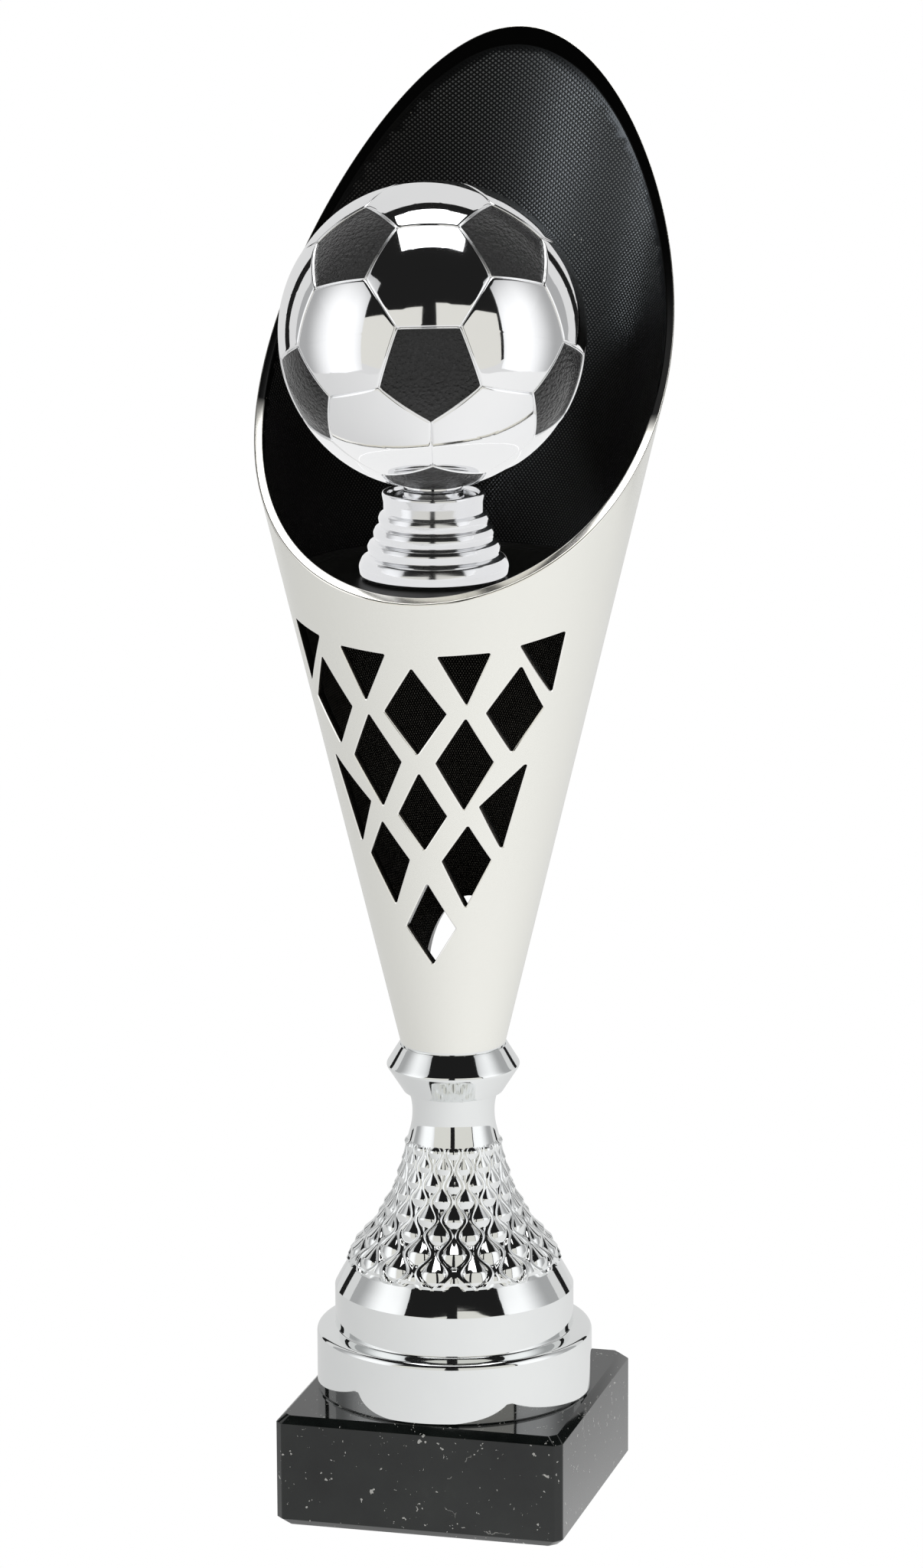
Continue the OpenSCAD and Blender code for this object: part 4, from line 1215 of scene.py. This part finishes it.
# how far each thing shows from its image point
shown = {name: showsAt(finishedMesh(name)[0]) for name in (
    "marbleBlock", "bowlShell", "bowlRim", "ballStand", "ballShell", "pedestalMoulding")}
everything = np.vstack(list(shown.values()))
blockSpots, shellSpots = (np.array(finishedMesh(name)[0]) for name in ("marbleBlock", "bowlShell"))
onTop = blockSpots[:, 2] > blockSpots[:, 2].max() - 1e-5
blockCorners = [shown["marbleBlock"][np.argmax(np.where(onTop, blockSpots @ np.array(toward), -1))]
                for toward in ((-1, -1, 0), (1, -1, 0), (1, 1, 0))]
patchRing = np.array(panels[0][1]) @ turnBall.T * ball["radius"]
patchCorners = showsAt(toMetres(patchRing + ballCentre))
upperPair = sorted(sorted(patchCorners.tolist(), key=lambda corner: corner[1])[:2])
tipX, tipH = min((min(outline.tolist(), key=lambda spot: spot[1]) for outline, face in windows if face < 0),
                 key=lambda spot: spot[1])
tipY = -math.sqrt(outerRadius(tipH) ** 2 - tipX ** 2)
windowTip = showsAt([toMetres((tipX, tipY, tipH + bowl["foot"]))])[0]
footRing = shown["bowlShell"][shellSpots[:, 2] < shellSpots[:, 2].min() + 0.0004]
lows = {name: spots.min(axis=0) for name, spots in shown.items()}
highs = {name: spots.max(axis=0) for name, spots in shown.items()}
showing = {
    "objectLeft": everything.min(axis=0), "objectRight": everything.max(axis=0),
    "objectTop": everything.min(axis=0), "objectBottom": everything.max(axis=0),
    "blockTopLeft": blockCorners[0], "blockTopFront": blockCorners[1], "blockTopRight": blockCorners[2],
    "ballLeft": lows["ballShell"], "ballRight": highs["ballShell"], "ballTop": lows["ballShell"],
    "frontPatch": patchCorners.mean(axis=0), "patchUpperLeft": upperPair[0], "patchUpperRight": upperPair[1],
    "patchLow": patchCorners[np.argmax(patchCorners[:, 1])],
    "standLeft": lows["ballStand"], "standRight": highs["ballStand"], "rimLow": highs["bowlRim"],
    "windowLow": windowTip, "coneFootLeft": footRing[np.argmin(footRing[:, 0])],
    "coneFootRight": footRing[np.argmax(footRing[:, 0])],
}
for point, place in imagePoints.items():
    pairs = zip(place, showing[point])
    [None if here is None else round(float(there - here), 2) for here, there in pairs]
